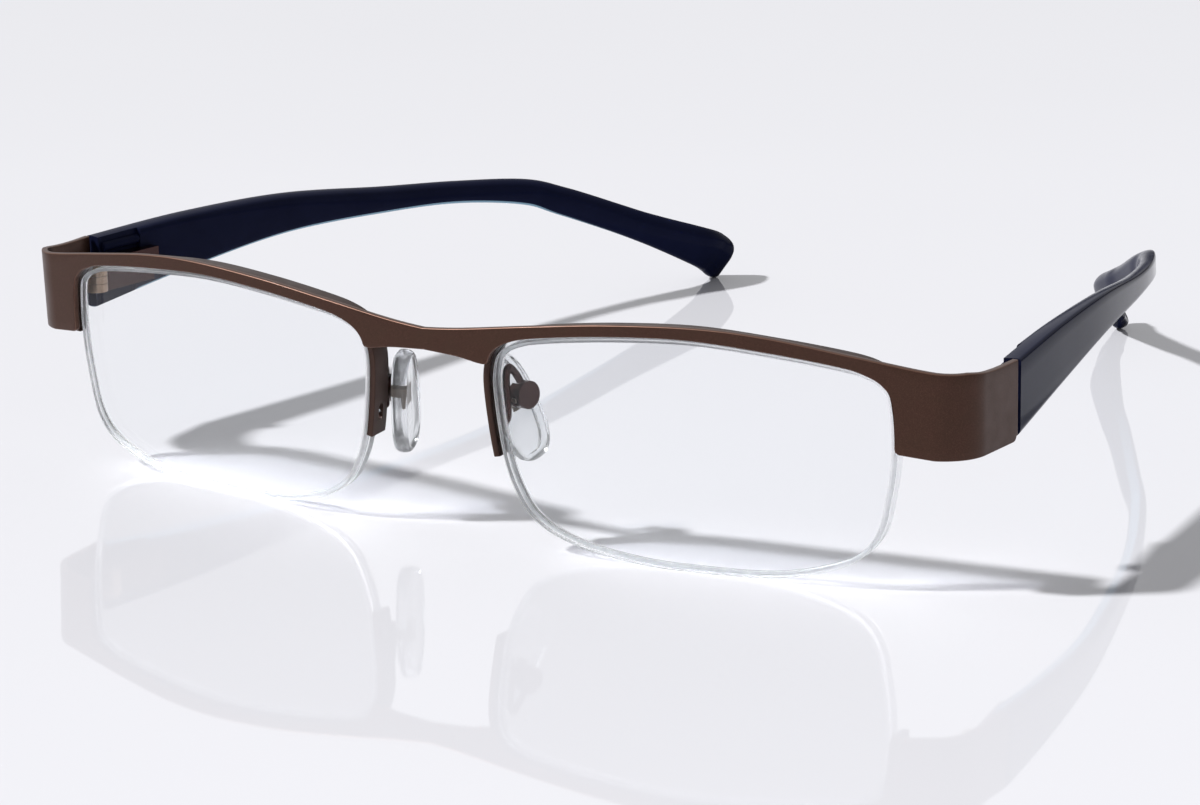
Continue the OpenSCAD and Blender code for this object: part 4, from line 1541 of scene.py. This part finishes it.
    def cord(self, kit: Kit) -> None:
        """The nylon cord in the lens's lower groove, its ends turned into the rim's holes.

        The path keeps to the groove's floor; its first and last two points lead out
        through the holes.

        Args:
            kit: Puts the piece into the scene.
        """
        s = self.shape
        count = len(s.outline)
        side_hole, post_hole = self.holes
        inside = -self.groove_d + self.cord_d / 2 + self.fit_gap
        stride = s.steps // 4
        lower = np.arange(post_hole + stride, count + side_hole - stride + 1)
        steps = np.concatenate([[post_hole] * 2, lower, [side_hole + count] * 2])
        out = np.full(len(steps), inside)
        out[[0, -1]] = s.lens_gap + s.rim_t
        out[[1, -2]] = s.lens_gap
        path = evened(self.smooth_turns(s.beside(steps, out, s.groove_y)), spacing=0.25)
        rings = wire(path, self.cord_d, np.array([0.0, 1.0, 0.0]), sides=12, tip=0.15)
        piece = kit.rings(self.side.word + "_lens_cord_shape", s.stand(rings, self.side))
        kit.place(piece, (self.side.word + "_lens_cord",), "front", kit.finishes.nylon, "clear_nylon")

    @staticmethod
    def smooth_turns(path: np.ndarray) -> np.ndarray:
        """Cubic curve through the path's two turns, with its long middle kept.

        Args:
            path: Points of the cord's path, (n, 3).

        Returns:
            The path with each turn drawn through its first or last five chosen points.
        """
        head = spline(np.vstack([path[:3], path[6:8]]), steps=6)[:-6]
        foot = spline(np.vstack([path[-8:-6], path[-3:]]), steps=6)[6:]
        return np.vstack([head, path[7:-7], foot])

    def build(self, kit: Kit) -> None:
        """Makes the rim, liner, lens and cord of this side.

        Args:
            kit: Puts the pieces into the scene.
        """
        self.rim(kit)
        self.liner(kit)
        self.lens(kit)
        self.cord(kit)


# Nose pads


@dataclass
class NosePad:
    """One nose pad with its arm, box, screw and insert."""

    shape: FrontShape
    side: Side
    # How far the arm is bent up, and the degrees by which the pad is rocked.
    raise_z: float
    rock: float
    pad_h: float = 14.4
    pad_w: float = 6.4
    pad_t: float = 2.2
    # Turns of the pad about X, Y and Z, in degrees.
    lean: float = 13.5
    flare: float = 5.3
    turn: float = 15.4
    # Thickness of the arm; size and depth of the box, its height over the pad's middle
    # and its gap behind the pad.
    arm_d: float = 0.95
    box_d: float = 3.5
    box_depth: float = 1.9
    box_off: float = 1.6
    box_gap: float = 0.4
    # Place of the pad's middle: in from the lens, back from the plate, and above the
    # lens's middle.
    pad_in: float = 0.9
    pad_depth: float = 7.9
    pad_rise: float = 1.0
    # Depth of the hollow in the pad's face.
    dish: float = 0.35

    @property
    def screw_x(self) -> float:
        """Distance of the pad screw's line from the pad's middle."""
        return self.pad_t / 2 + self.box_gap + self.box_depth / 2

    def turned(self, points: np.ndarray) -> np.ndarray:
        """Pad points set in the front's space: turned about X, Y and Z, then moved.

        Args:
            points: Points about the pad's middle, x across, y and z along it, (..., 3).

        Returns:
            Points in the front's own space, of the same shape.
        """
        ax, ay, az = np.radians([self.lean, -self.flare, -self.turn])
        x, y, z = np.moveaxis(points, -1, 0)
        y, z = y * np.cos(ax) - z * np.sin(ax), y * np.sin(ax) + z * np.cos(ax)
        x, z = x * np.cos(ay) + z * np.sin(ay), z * np.cos(ay) - x * np.sin(ay)
        x, y = x * np.cos(az) - y * np.sin(az), x * np.sin(az) + y * np.cos(az)
        s = self.shape
        place = np.array([s.nose_gap / 2 - self.pad_in, self.pad_depth, s.lens_z + self.pad_rise])
        return np.stack([x, y, z], -1) + place + [0, 0, self.raise_z]

    def rocked(self, points: np.ndarray) -> np.ndarray:
        """Pad points rocked about the screw: x and z turn in their plane by the rock.

        Args:
            points: Points about the pad's middle, (..., 3).

        Returns:
            The turned points, of the same shape.
        """
        a = math.radians(-self.rock)
        x, z = points[..., 0] - self.screw_x, points[..., 2] - self.box_off
        across = x * math.cos(a) + z * math.sin(a) + self.screw_x
        height = z * math.cos(a) - x * math.sin(a) + self.box_off
        return np.stack([across, points[..., 1], height], -1)

    def pad(self, kit: Kit) -> None:
        """The clear pad: oval rings over a rounded rim, with a face dished inwards.

        A ring of size k has y = k w/2 f(cos a) (1 - 0.12 f(sin a)) and z = (h/2 - (1-k) w/2)
        f(sin a), where f(v) is v's sign times |v| to the power of 0.78; its depth x goes
        from the dished face over the rounded rim to the back.

        Args:
            kit: Puts the piece into the scene.
        """
        h = self.pad_t / 2
        # Share of size and depth of each ring, from the face's middle round to the back.
        face = [(k, -h * 0.8 + self.dish * (1 - (k / 0.78) ** 2)) for k in (0.06, 0.25, 0.45, 0.62)]
        outline = [
            (0.72, -0.86 * h), (0.8, -0.97 * h), (0.87, -0.93 * h), (0.94, -0.74 * h), (0.985, -0.42 * h),
            (1.0, 0.0), (0.99, 0.38 * h), (0.95, 0.7 * h), (0.88, 0.9 * h), (0.78, 0.99 * h),
        ]  # fmt: skip
        back = [(k, h) for k in (0.6, 0.4, 0.2, 0.06)]
        size, depth = spline(face + outline + back, steps=2).T
        a = np.linspace(0, 2 * math.pi, 72, endpoint=False)
        wide, tall = (np.sign(v) * np.abs(v) ** 0.78 for v in (np.cos(a), np.sin(a)))
        ring_y = size[:, None] * self.pad_w / 2 * wide * (1 - 0.12 * tall)
        ring_z = np.maximum(self.pad_h / 2 - (1 - size) * self.pad_w / 2, 0.02)[:, None] * tall
        inner = np.clip((0.66 - size) / 0.6, 0, 1)[:, None]
        ring_z = ring_z * (1 - 0.9 * inner)
        rings = np.stack([np.broadcast_to(depth[:, None], ring_y.shape), ring_y, ring_z], -1)
        word = self.side.word
        points = self.shape.stand(self.turned(self.rocked(rings)), self.side)
        piece = kit.rings(word + "_nose_pad_shape", points, sharp=60)
        kit.place(piece, (word + "_nose_pad",), word + "_pad", kit.finishes.silicone, "clear_silicone")

    def arm(self, kit: Kit) -> None:
        """The wire arm from the rim's rear, up and over into the top of the box.

        Its foot stays where it is brazed; what comes after goes up with the pad.

        Args:
            kit: Puts the piece into the scene.
        """
        s = self.shape
        arm_z = s.lens_z + 0.6
        steps = np.arange(len(s.outline) // 2, len(s.outline))
        nose = s.outline[steps]
        order = np.argsort(nose[:, 1])
        arm_x = float(np.interp(arm_z, nose[order, 1], nose[order, 0])) - s.lens_gap - s.rim_t / 2
        end = self.turned(np.array([self.screw_x, 0, self.box_off + self.box_d / 2 + 0.02]))
        lift = np.array([0, 0, self.raise_z])
        foot = np.array([arm_x, float(s.bow(arm_x)) + s.rim_y + s.rim_depth + 0.02, arm_z])
        halfway = np.append((foot + end)[:2] / 2, arm_z)
        path = spline(
            [
                foot,
                foot + [0, 0.2, 0],
                foot + [0.2, 0.52, 0.3],
                foot + [0.5, 0.65, 1.2],
                foot + [0.55, 0.6, 3] + lift / 2,
                foot + [0.5, 0.6, 4.8] + lift,
                halfway + [0.15, -0.4, 6.1] + lift,
                end + [-0.3, -0.5, 1.1],
                end,
            ],
            steps=12,
        )
        rings = wire(path, self.arm_d, np.array([1.0, 0.0, 0.0]), sides=20, tip=0.05)
        name = self.side.word + "_pad_arm"
        piece = kit.rings(name + "_shape", s.stand(rings, self.side), sharp=60)
        kit.place(piece, (name,), "front", kit.finishes.gloss_lacquer, "brown_lacquer")

    def build(self, kit: Kit) -> None:
        """Makes the arm and pad, and rounds the edges of box, screw and insert.

        Args:
            kit: Puts the pieces into the scene.
        """
        self.arm(kit)
        self.pad(kit)
        word = self.side.word
        for node, bevel, body, material, slot in (
            ("pad_box", 0.42, "front", kit.finishes.gloss_lacquer, "brown_lacquer"),
            ("pad_screw", 0.08, "front", kit.finishes.steel, "steel"),
            ("pad_insert", 0.06, word + "_pad", kit.finishes.insert, "grey_insert"),
        ):
            name = f"{word}_{node}"
            kit.place(kit.node_copy(name, bevel), (name,), body, material, slot)


# Hinges


@dataclass
class SpringHinge:
    """One spring hinge: ears, screw, tongue and case, with the hidden spring parts."""

    side: Side
    # Width of the rounding on every edge.
    edge_mm: float = 0.1

    def build(self, kit: Kit) -> None:
        """Rounds the edges of what shows and dresses what is hidden.

        Args:
            kit: Puts the pieces into the scene.
        """
        word = self.side.word
        finishes = kit.finishes
        for node, body, material, slot in (
            ("end_hinge", "front", finishes.hinge, "brown_lacquer"),
            ("hinge_screw", "front", finishes.steel, "steel"),
            ("hinge_tongue", word + "_hinge_half", finishes.hinge, "steel"),
            ("spring_case", word + "_arm", finishes.gloss_lacquer, "brown_lacquer"),
        ):
            name = f"{word}_{node}"
            kit.place(kit.node_copy(name, self.edge_mm), (name,), body, material, slot)
        for node in ("spring_stop", "case_plug", "hinge_spring"):
            kit.dress(f"{word}_{node}", finishes.steel)


# Temples


@dataclass
class Temple:
    """One acetate temple, from the hinge to the turned-down tip."""

    shape: FrontShape
    side: Side
    # Way from the hinge back to the tip, and how far the tip has come inwards.
    run: float = 120.2
    curve: float = 34.2
    # Heights at the hinge, at the slimmest place and of the tip.
    height: float = 9.8
    slim: float = 3.4
    tip_h: float = 6.9
    # Thickness at the hinge and of the tip, and the tip's roll in degrees.
    thick: float = 2.9
    tip_thick: float = 2.5
    tip_roll: float = 32.5
    # The hinge pin's place: in from the front's side, and before the end piece's rear edge.
    pin_inset: float = 4.0
    pin_forward: float = 1.5
    # Angle at which the temple starts, inwards of straight back.
    turn: float = math.radians(6.5)
    # Depth and length of the hinge step in the inner side.
    recess_d: float = 0.7
    recess_l: float = 8.8
    # Gap to the end piece, rounding of the section, and steps between two stations.
    end_gap: float = 0.45
    corner: float = 0.42
    steps: int = 12
    # The rib on the hinge step: its two ends, and its place as a share of the height.
    rib_from: float = 1.75
    rib_to: float = 8.95
    rib_rise: float = 0.36
    # Shares of the way at which the painted pale line of edge light ends and over which it fades.
    painted_light_end: float = 0.6
    painted_light_fade: float = 0.2
    # Share of the gloss at the hinge, and its growth over the whole way.
    gloss_start: float = 0.35
    gloss_growth: float = 2.0

    # Shares at the section's twelve corners, from the outer top edge over the top, down
    # the inner side and up the outer one.
    GLOSS = (0, 0, 0, 0, 0, 0, 0, 0, 0.15, 0.3, 0.3, 0.3)
    # Painted edge light on the two lower inner corners of the section.
    PAINTED_EDGE_LIGHT_SHARES = (0, 0, 0, 0, 0, 0, 1, 1, 0, 0, 0, 0)
    # Corners of the case's pocket and the tongue's passage, in the hinge pin's frame.
    POCKET = ((0.13, 1.78, -2.12), (2.87, 11.02, 2.32))
    PASSAGE = ((0.55, -1, -0.55), (2.45, 2, 0.55))

    def stations(self) -> np.ndarray:
        """Stations along the temple, smoothed.

        Each has its share of the run, of the inward curve and of the drop, then its
        height, thickness, roll in degrees and the rounding of its inner top edge.

        Returns:
            Rows of seven values.
        """

        def mix(a: float, b: float, share: float) -> float:
            """Value at a share of the way from a to b."""
            return a + (b - a) * share

        h, slim, tip = self.height, self.slim, self.tip_h
        t, u, roll = self.thick, self.tip_thick, self.tip_roll
        rows = [
            [0, 0, 0, h, t, 0, 0.06],
            [0.15, 0.058, -0.055, mix(h, slim, 0.28), t - 0.1, 1.2, 0.1],
            [0.32, 0.136, -0.068, mix(h, slim, 0.63), t - 0.2, 1.8, 0.2],
            [0.49, 0.246, 0.012, mix(h, slim, 0.92), t - 0.3, 0.6, 0.28],
            [0.615, 0.351, 0.08, slim, u, 0, 0.3],
            [0.723, 0.485, 0.176, mix(slim, tip, 0.16), u, 6, 0.3],
            [0.775, 0.595, 0.293, mix(slim, tip, 0.28), u, 16.9, 0.3],
            [0.842, 0.743, 0.483, mix(slim, tip, 0.33), u, 26.5, 0.3],
            [0.884, 0.846, 0.616, mix(slim, tip, 0.47), u, 28.3, 0.3],
            [0.943, 0.963, 0.796, mix(slim, tip, 0.89), u, roll - 1.2, 0.3],
            [0.975, 0.988, 0.902, tip, u, roll, 0.3],
            [0.99, 0.995, 0.975, tip - 0.15, u - 0.1, roll, 0.3],
            [0.997, 0.998, 0.992, tip - 1, u - 0.5, roll, 0.3],
            [1, 1, 1, tip - 2.6, u - 1.3, roll, 0.3],
        ]
        return spline(rows, self.steps)

    def rings(self) -> np.ndarray:
        """Rings of the temple's skin, in millimetres in the whole's frame.

        At each station the section has twelve corners, given as shares of height
        and thickness, whose corners are rounded; it stands square to the path and
        is turned by the station's roll.

        Returns:
            Rings of points, (n, m, 3).
        """
        s = self.shape
        row = self.stations()
        front_z = (s.end_top + s.end_bottom) / 2 + 0.1
        # The tip's middle is at the height at which the station at 0.975 of the drop stands
        # on the floor.
        roll = math.radians(self.tip_roll)
        foot = (self.tip_h - 0.15) / 2 * math.cos(roll) + 0.62 * (self.tip_thick - 0.1) * math.sin(roll)
        tip_mid = (foot - 0.025 * front_z) / 0.975
        path = np.stack(
            [
                s.half_w + 0.1 - row[:, 1] * self.curve,
                s.end_depth + self.end_gap + 0.1 + row[:, 0] * self.run,
                front_z + (tip_mid - front_z) * row[:, 2],
            ],
            1,
        )
        along = unit(np.gradient(path, axis=0))
        out = unit(np.stack([along[:, 1], -along[:, 0], np.zeros(len(path))], 1))
        up = np.cross(out, along)
        a = np.radians(row[:, 5])[:, None]
        side, rise = out * np.cos(a) + up * np.sin(a), up * np.cos(a) - out * np.sin(a)
        h, t, c = row[:, 3], row[:, 4], row[:, 6]
        zero = np.zeros_like(h)
        x = [zero, -0.3 * t, -0.6 * t, -0.85 * t, -t, -t, -0.85 * t, -0.6 * t, -0.25 * t, zero, zero, zero]
        z = [
            h / 2 - 0.05, h / 2, h / 2 - 0.35 * c * t, h / 2 - c * t, h / 2 - 2.6 * c * t, 0.3 * t - h / 2,
            0.1 * t - h / 2, -h / 2, -h / 2, 0.2 * t - h / 2, -0.15 * h, 0.2 * h,
        ]  # fmt: skip
        corners = np.stack([np.stack(x, 1), np.stack(z, 1)], -1)
        return swept(path, side, rise, rounded(corners, self.corner))

    def hinge_place(self, points: np.ndarray) -> np.ndarray:
        """Points of the hinge pin's frame, turned with the temple and set in the whole.

        Args:
            points: Points about the pin, x outward and y along the temple, (..., 3).

        Returns:
            Points in the whole's frame in millimetres, of the same shape.
        """
        s = self.shape
        x, y, z = np.moveaxis(points, -1, 0)
        cos, sin = math.cos(self.turn), math.sin(self.turn)
        pin_z = (s.end_top + s.end_bottom) / 2 - 0.1
        pin = np.array([s.half_w - self.pin_inset, s.end_depth - self.pin_forward, pin_z])
        return np.stack([x * cos - y * sin, x * sin + y * cos, z], -1) + pin

    def stand(self, points: np.ndarray) -> np.ndarray:
        """Points of the whole in metres on this temple's side."""
        return (points - [0, self.shape.middle_y, 0]) * [self.side.value * MM, MM, MM]

    def block(
        self, kit: Kit, low: tuple[float, float, float], high: tuple[float, float, float]
    ) -> bpy.types.Object:
        """Closed block between two corners in the hinge pin's frame, as a cutter.

        Args:
            kit: Makes the mesh.
            low: Corner with the lower values.
            high: The opposite corner.

        Returns:
            The cutter object.
        """
        (x0, y0, z0), (x1, y1, z1) = low, high
        rings = np.array([[[x0, y, z0], [x1, y, z0], [x1, y, z1], [x0, y, z1]] for y in (y0, y1)])
        return kit.rings("cutter", self.stand(self.hinge_place(rings)))

    def build(self, kit: Kit) -> None:
        """Makes the temple, cuts its hinge step and pocket, and adds the step's rib.

        Args:
            kit: Puts the piece into the scene.
        """
        word = self.side.word
        rings = self.rings()
        # The painted pale line of edge light fades out over the middle fifth of the stations;
        # the outer gloss grows from the hinge to a third of the way.
        way = np.linspace(0, 1, len(rings))[:, None]
        painted_light_share = np.clip((self.painted_light_end - way) / self.painted_light_fade, 0, 1)
        growth = np.clip(self.gloss_start + way * self.gloss_growth, 0, 1)
        marks = {
            name: np.repeat(share, rings.shape[1] // len(share)) * strength
            for name, share, strength in (("gloss", self.GLOSS, growth), ("line", self.PAINTED_EDGE_LIGHT_SHARES, painted_light_share))
        }
        temple = kit.rings(word + "_temple_shape", self.stand(rings), sharp=50, marks=marks)
        step_x = self.pin_inset + 0.35 - self.thick + self.recess_d
        kit.cut(
            temple,
            [
                self.block(kit, (-4, -4, -12), (step_x, self.recess_l, 12)),
                self.block(kit, *self.POCKET),
                self.block(kit, *self.PASSAGE),
            ],
        )
        kit.place(temple, (word + "_temple",), word + "_arm", kit.finishes.acetate, "navy_acetate")
        along = np.linspace(self.rib_from, self.rib_to, 40)
        path = np.stack([np.full(40, step_x), along, np.full(40, self.height * self.rib_rise)], 1)
        rib_rings = wire(path, 2 * self.recess_d, np.array([1.0, 0.0, 0.0]), sides=24, tip=0.35)
        rib = kit.rings(word + "_temple_rib", self.stand(self.hinge_place(rib_rings)))
        rib.data.materials.append(kit.finishes.acetate)
        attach(rib, word + "_arm")
        LOG.info("%-22s %6d points on %s_arm", rib.name, len(rib.data.vertices), word)


# Studio


@dataclass(frozen=True)
class Studio:
    """Floor, lamps, world and camera."""

    floor_m: float = 4.0
    floor_lines: int = 9
    # Camera's place in millimetres, its direction and small roll in degrees, its focal length.
    camera_mm: tuple[float, float, float] = (217.81, -402.682, 127.088)
    azimuth: float = 30.193
    elevation: float = 15.4715
    roll: float = -0.327
    lens_mm: float = 100.73
    # Direction towards the main lamp, its strength, and how wide it looks, in degrees.
    key_towards: tuple[float, float, float] = (-0.55, -0.42, 0.72)
    key_strength: float = 3.85
    key_wide: float = 4.0
    # Strength of the pale surroundings as light, in reflections and through clear pieces.
    world_light: float = 0.3
    world_mirrored: float = 0.72
    world_through: float = 0.3
    # A dark strip over the horizon: its share of the mirrored strength, its start and end.
    strip_share: float = 0.12
    strip_from: float = 0.03
    strip_to: float = 0.11
    backdrop: str = "#fafafc"

    def camera(self) -> bpy.types.Object:
        """Camera at the photograph's place.

        Its back direction is (sin az cos el, -cos az cos el, sin el); right and up
        follow from the vertical and are turned by the roll.

        Returns:
            The camera object.
        """
        az, el, roll = map(math.radians, (self.azimuth, self.elevation, self.roll))
        back = np.array([math.sin(az) * math.cos(el), -math.cos(az) * math.cos(el), math.sin(el)])
        right = unit(np.cross([0.0, 0.0, 1.0], back)[None])[0]
        up = np.cross(back, right)
        cos, sin = math.cos(roll), math.sin(roll)
        right, up = right * cos + up * sin, up * cos - right * sin
        data = bpy.data.cameras.new("camera")
        data.lens = self.lens_mm
        data.sensor_width = 36.0
        data.clip_start, data.clip_end = 0.02, 20.0
        camera = bpy.data.objects.new("camera", data)
        turn = np.eye(4)
        turn[:3, 0], turn[:3, 1], turn[:3, 2] = right, up, back
        turn[:3, 3] = np.array(self.camera_mm) * MM
        camera.matrix_world = Matrix(turn.tolist())
        bpy.context.scene.collection.objects.link(camera)
        bpy.context.scene.camera = camera
        return camera

    def floor(self, finishes: Finishes) -> bpy.types.Object:
        """Flat board of four-sided faces at height zero.

        Args:
            finishes: Gives the board's material.

        Returns:
            The floor object.
        """
        side = np.linspace(-self.floor_m / 2, self.floor_m / 2, self.floor_lines)
        x, y = np.meshgrid(side, side)
        points = np.stack([x, y, np.zeros_like(x)], -1).reshape(-1, 3)
        data = bpy.data.meshes.new("floor")
        faces = grid_faces(self.floor_lines, self.floor_lines, False)
        data.from_pydata(points.tolist(), [], faces.tolist())
        data.materials.append(finishes.board)
        floor = bpy.data.objects.new("floor", data)
        bpy.context.scene.collection.objects.link(floor)
        return floor

    def lamps(self) -> None:
        """One main lamp far off at the front left, as its even, crisp shadows show."""
        data = bpy.data.lights.new("main lamp", "SUN")
        data.angle = math.radians(self.key_wide)
        data.energy = self.key_strength
        lamp = bpy.data.objects.new("main lamp", data)
        towards = unit(np.array([self.key_towards]))[0]
        right = unit(np.cross([0.0, 0.0, 1.0], towards)[None])[0]
        turn = np.eye(4)
        turn[:3, 0], turn[:3, 1], turn[:3, 2] = right, np.cross(towards, right), towards
        turn[:3, 3] = towards
        lamp.matrix_world = Matrix(turn.tolist())
        bpy.context.scene.collection.objects.link(lamp)

    def world(self) -> None:
        """Pale world: brighter where it is mirrored or looked through than as a light."""
        world = bpy.data.worlds.new("pale studio")
        world.use_nodes = True
        tree = world.node_tree
        tree.nodes.clear()
        path = add(tree, "ShaderNodeLightPath")
        # The dark strip gives mirroring edges their thin dark line.
        height = add(
            tree,
            "ShaderNodeSeparateXYZ",
            inputs={0: add(tree, "ShaderNodeTexCoord").outputs["Generated"]},
        ).outputs["Z"]
        strip = add(
            tree,
            "ShaderNodeMapRange",
            {"interpolation_type": "SMOOTHSTEP"},
            {
                "Value": height,
                "From Min": self.strip_from,
                "From Max": self.strip_to,
                "To Min": self.strip_share * self.world_mirrored,
                "To Max": self.world_mirrored,
            },
        ).outputs["Result"]
        mirrored = add(
            tree,
            "ShaderNodeMapRange",
            inputs={"Value": path.outputs["Is Glossy Ray"], "To Min": self.world_light, "To Max": strip},
        ).outputs["Result"]
        through = add(
            tree,
            "ShaderNodeMapRange",
            inputs={
                "Value": path.outputs["Is Transmission Ray"],
                "To Min": mirrored,
                "To Max": self.world_through,
            },
        ).outputs["Result"]
        strength = add(
            tree,
            "ShaderNodeMapRange",
            inputs={"Value": path.outputs["Is Camera Ray"], "To Min": through, "To Max": 1.0},
        ).outputs["Result"]
        light = add(
            tree,
            "ShaderNodeBackground",
            inputs={"Color": linear(self.backdrop), "Strength": strength},
        )
        add(tree, "ShaderNodeOutputWorld", inputs={"Surface": light.outputs["Background"]})
        bpy.context.scene.world = world

    def build(self, finishes: Finishes) -> None:
        """Sets up the whole studio.

        Args:
            finishes: Gives the floor's material.
        """
        self.camera()
        self.floor(finishes)
        self.lamps()
        self.world()
        bpy.context.scene.view_settings.view_transform = "Standard"


def main() -> None:
    """Builds the studio, then the glasses piece by piece."""
    logging.basicConfig(level=logging.INFO, format="%(name)s: %(message)s")
    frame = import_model()
    finishes = Finishes()
    kit = Kit(frame, finishes)
    shape = FrontShape()
    Studio().build(finishes)
    BrowPlate(shape).build(kit)
    # The pads sit unevenly: the left arm is bent up and its pad rocked, the right one down.
    for side, raise_z, rock in ((Side.LEFT, 1.2, 8.0), (Side.RIGHT, -0.9, 0.0)):
        LensSet(shape, side).build(kit)
        NosePad(shape, side, raise_z, rock).build(kit)
        SpringHinge(side).build(kit)
        Temple(shape, side).build(kit)
    bpy.context.view_layer.update()


if __name__ == "__main__":
    main()
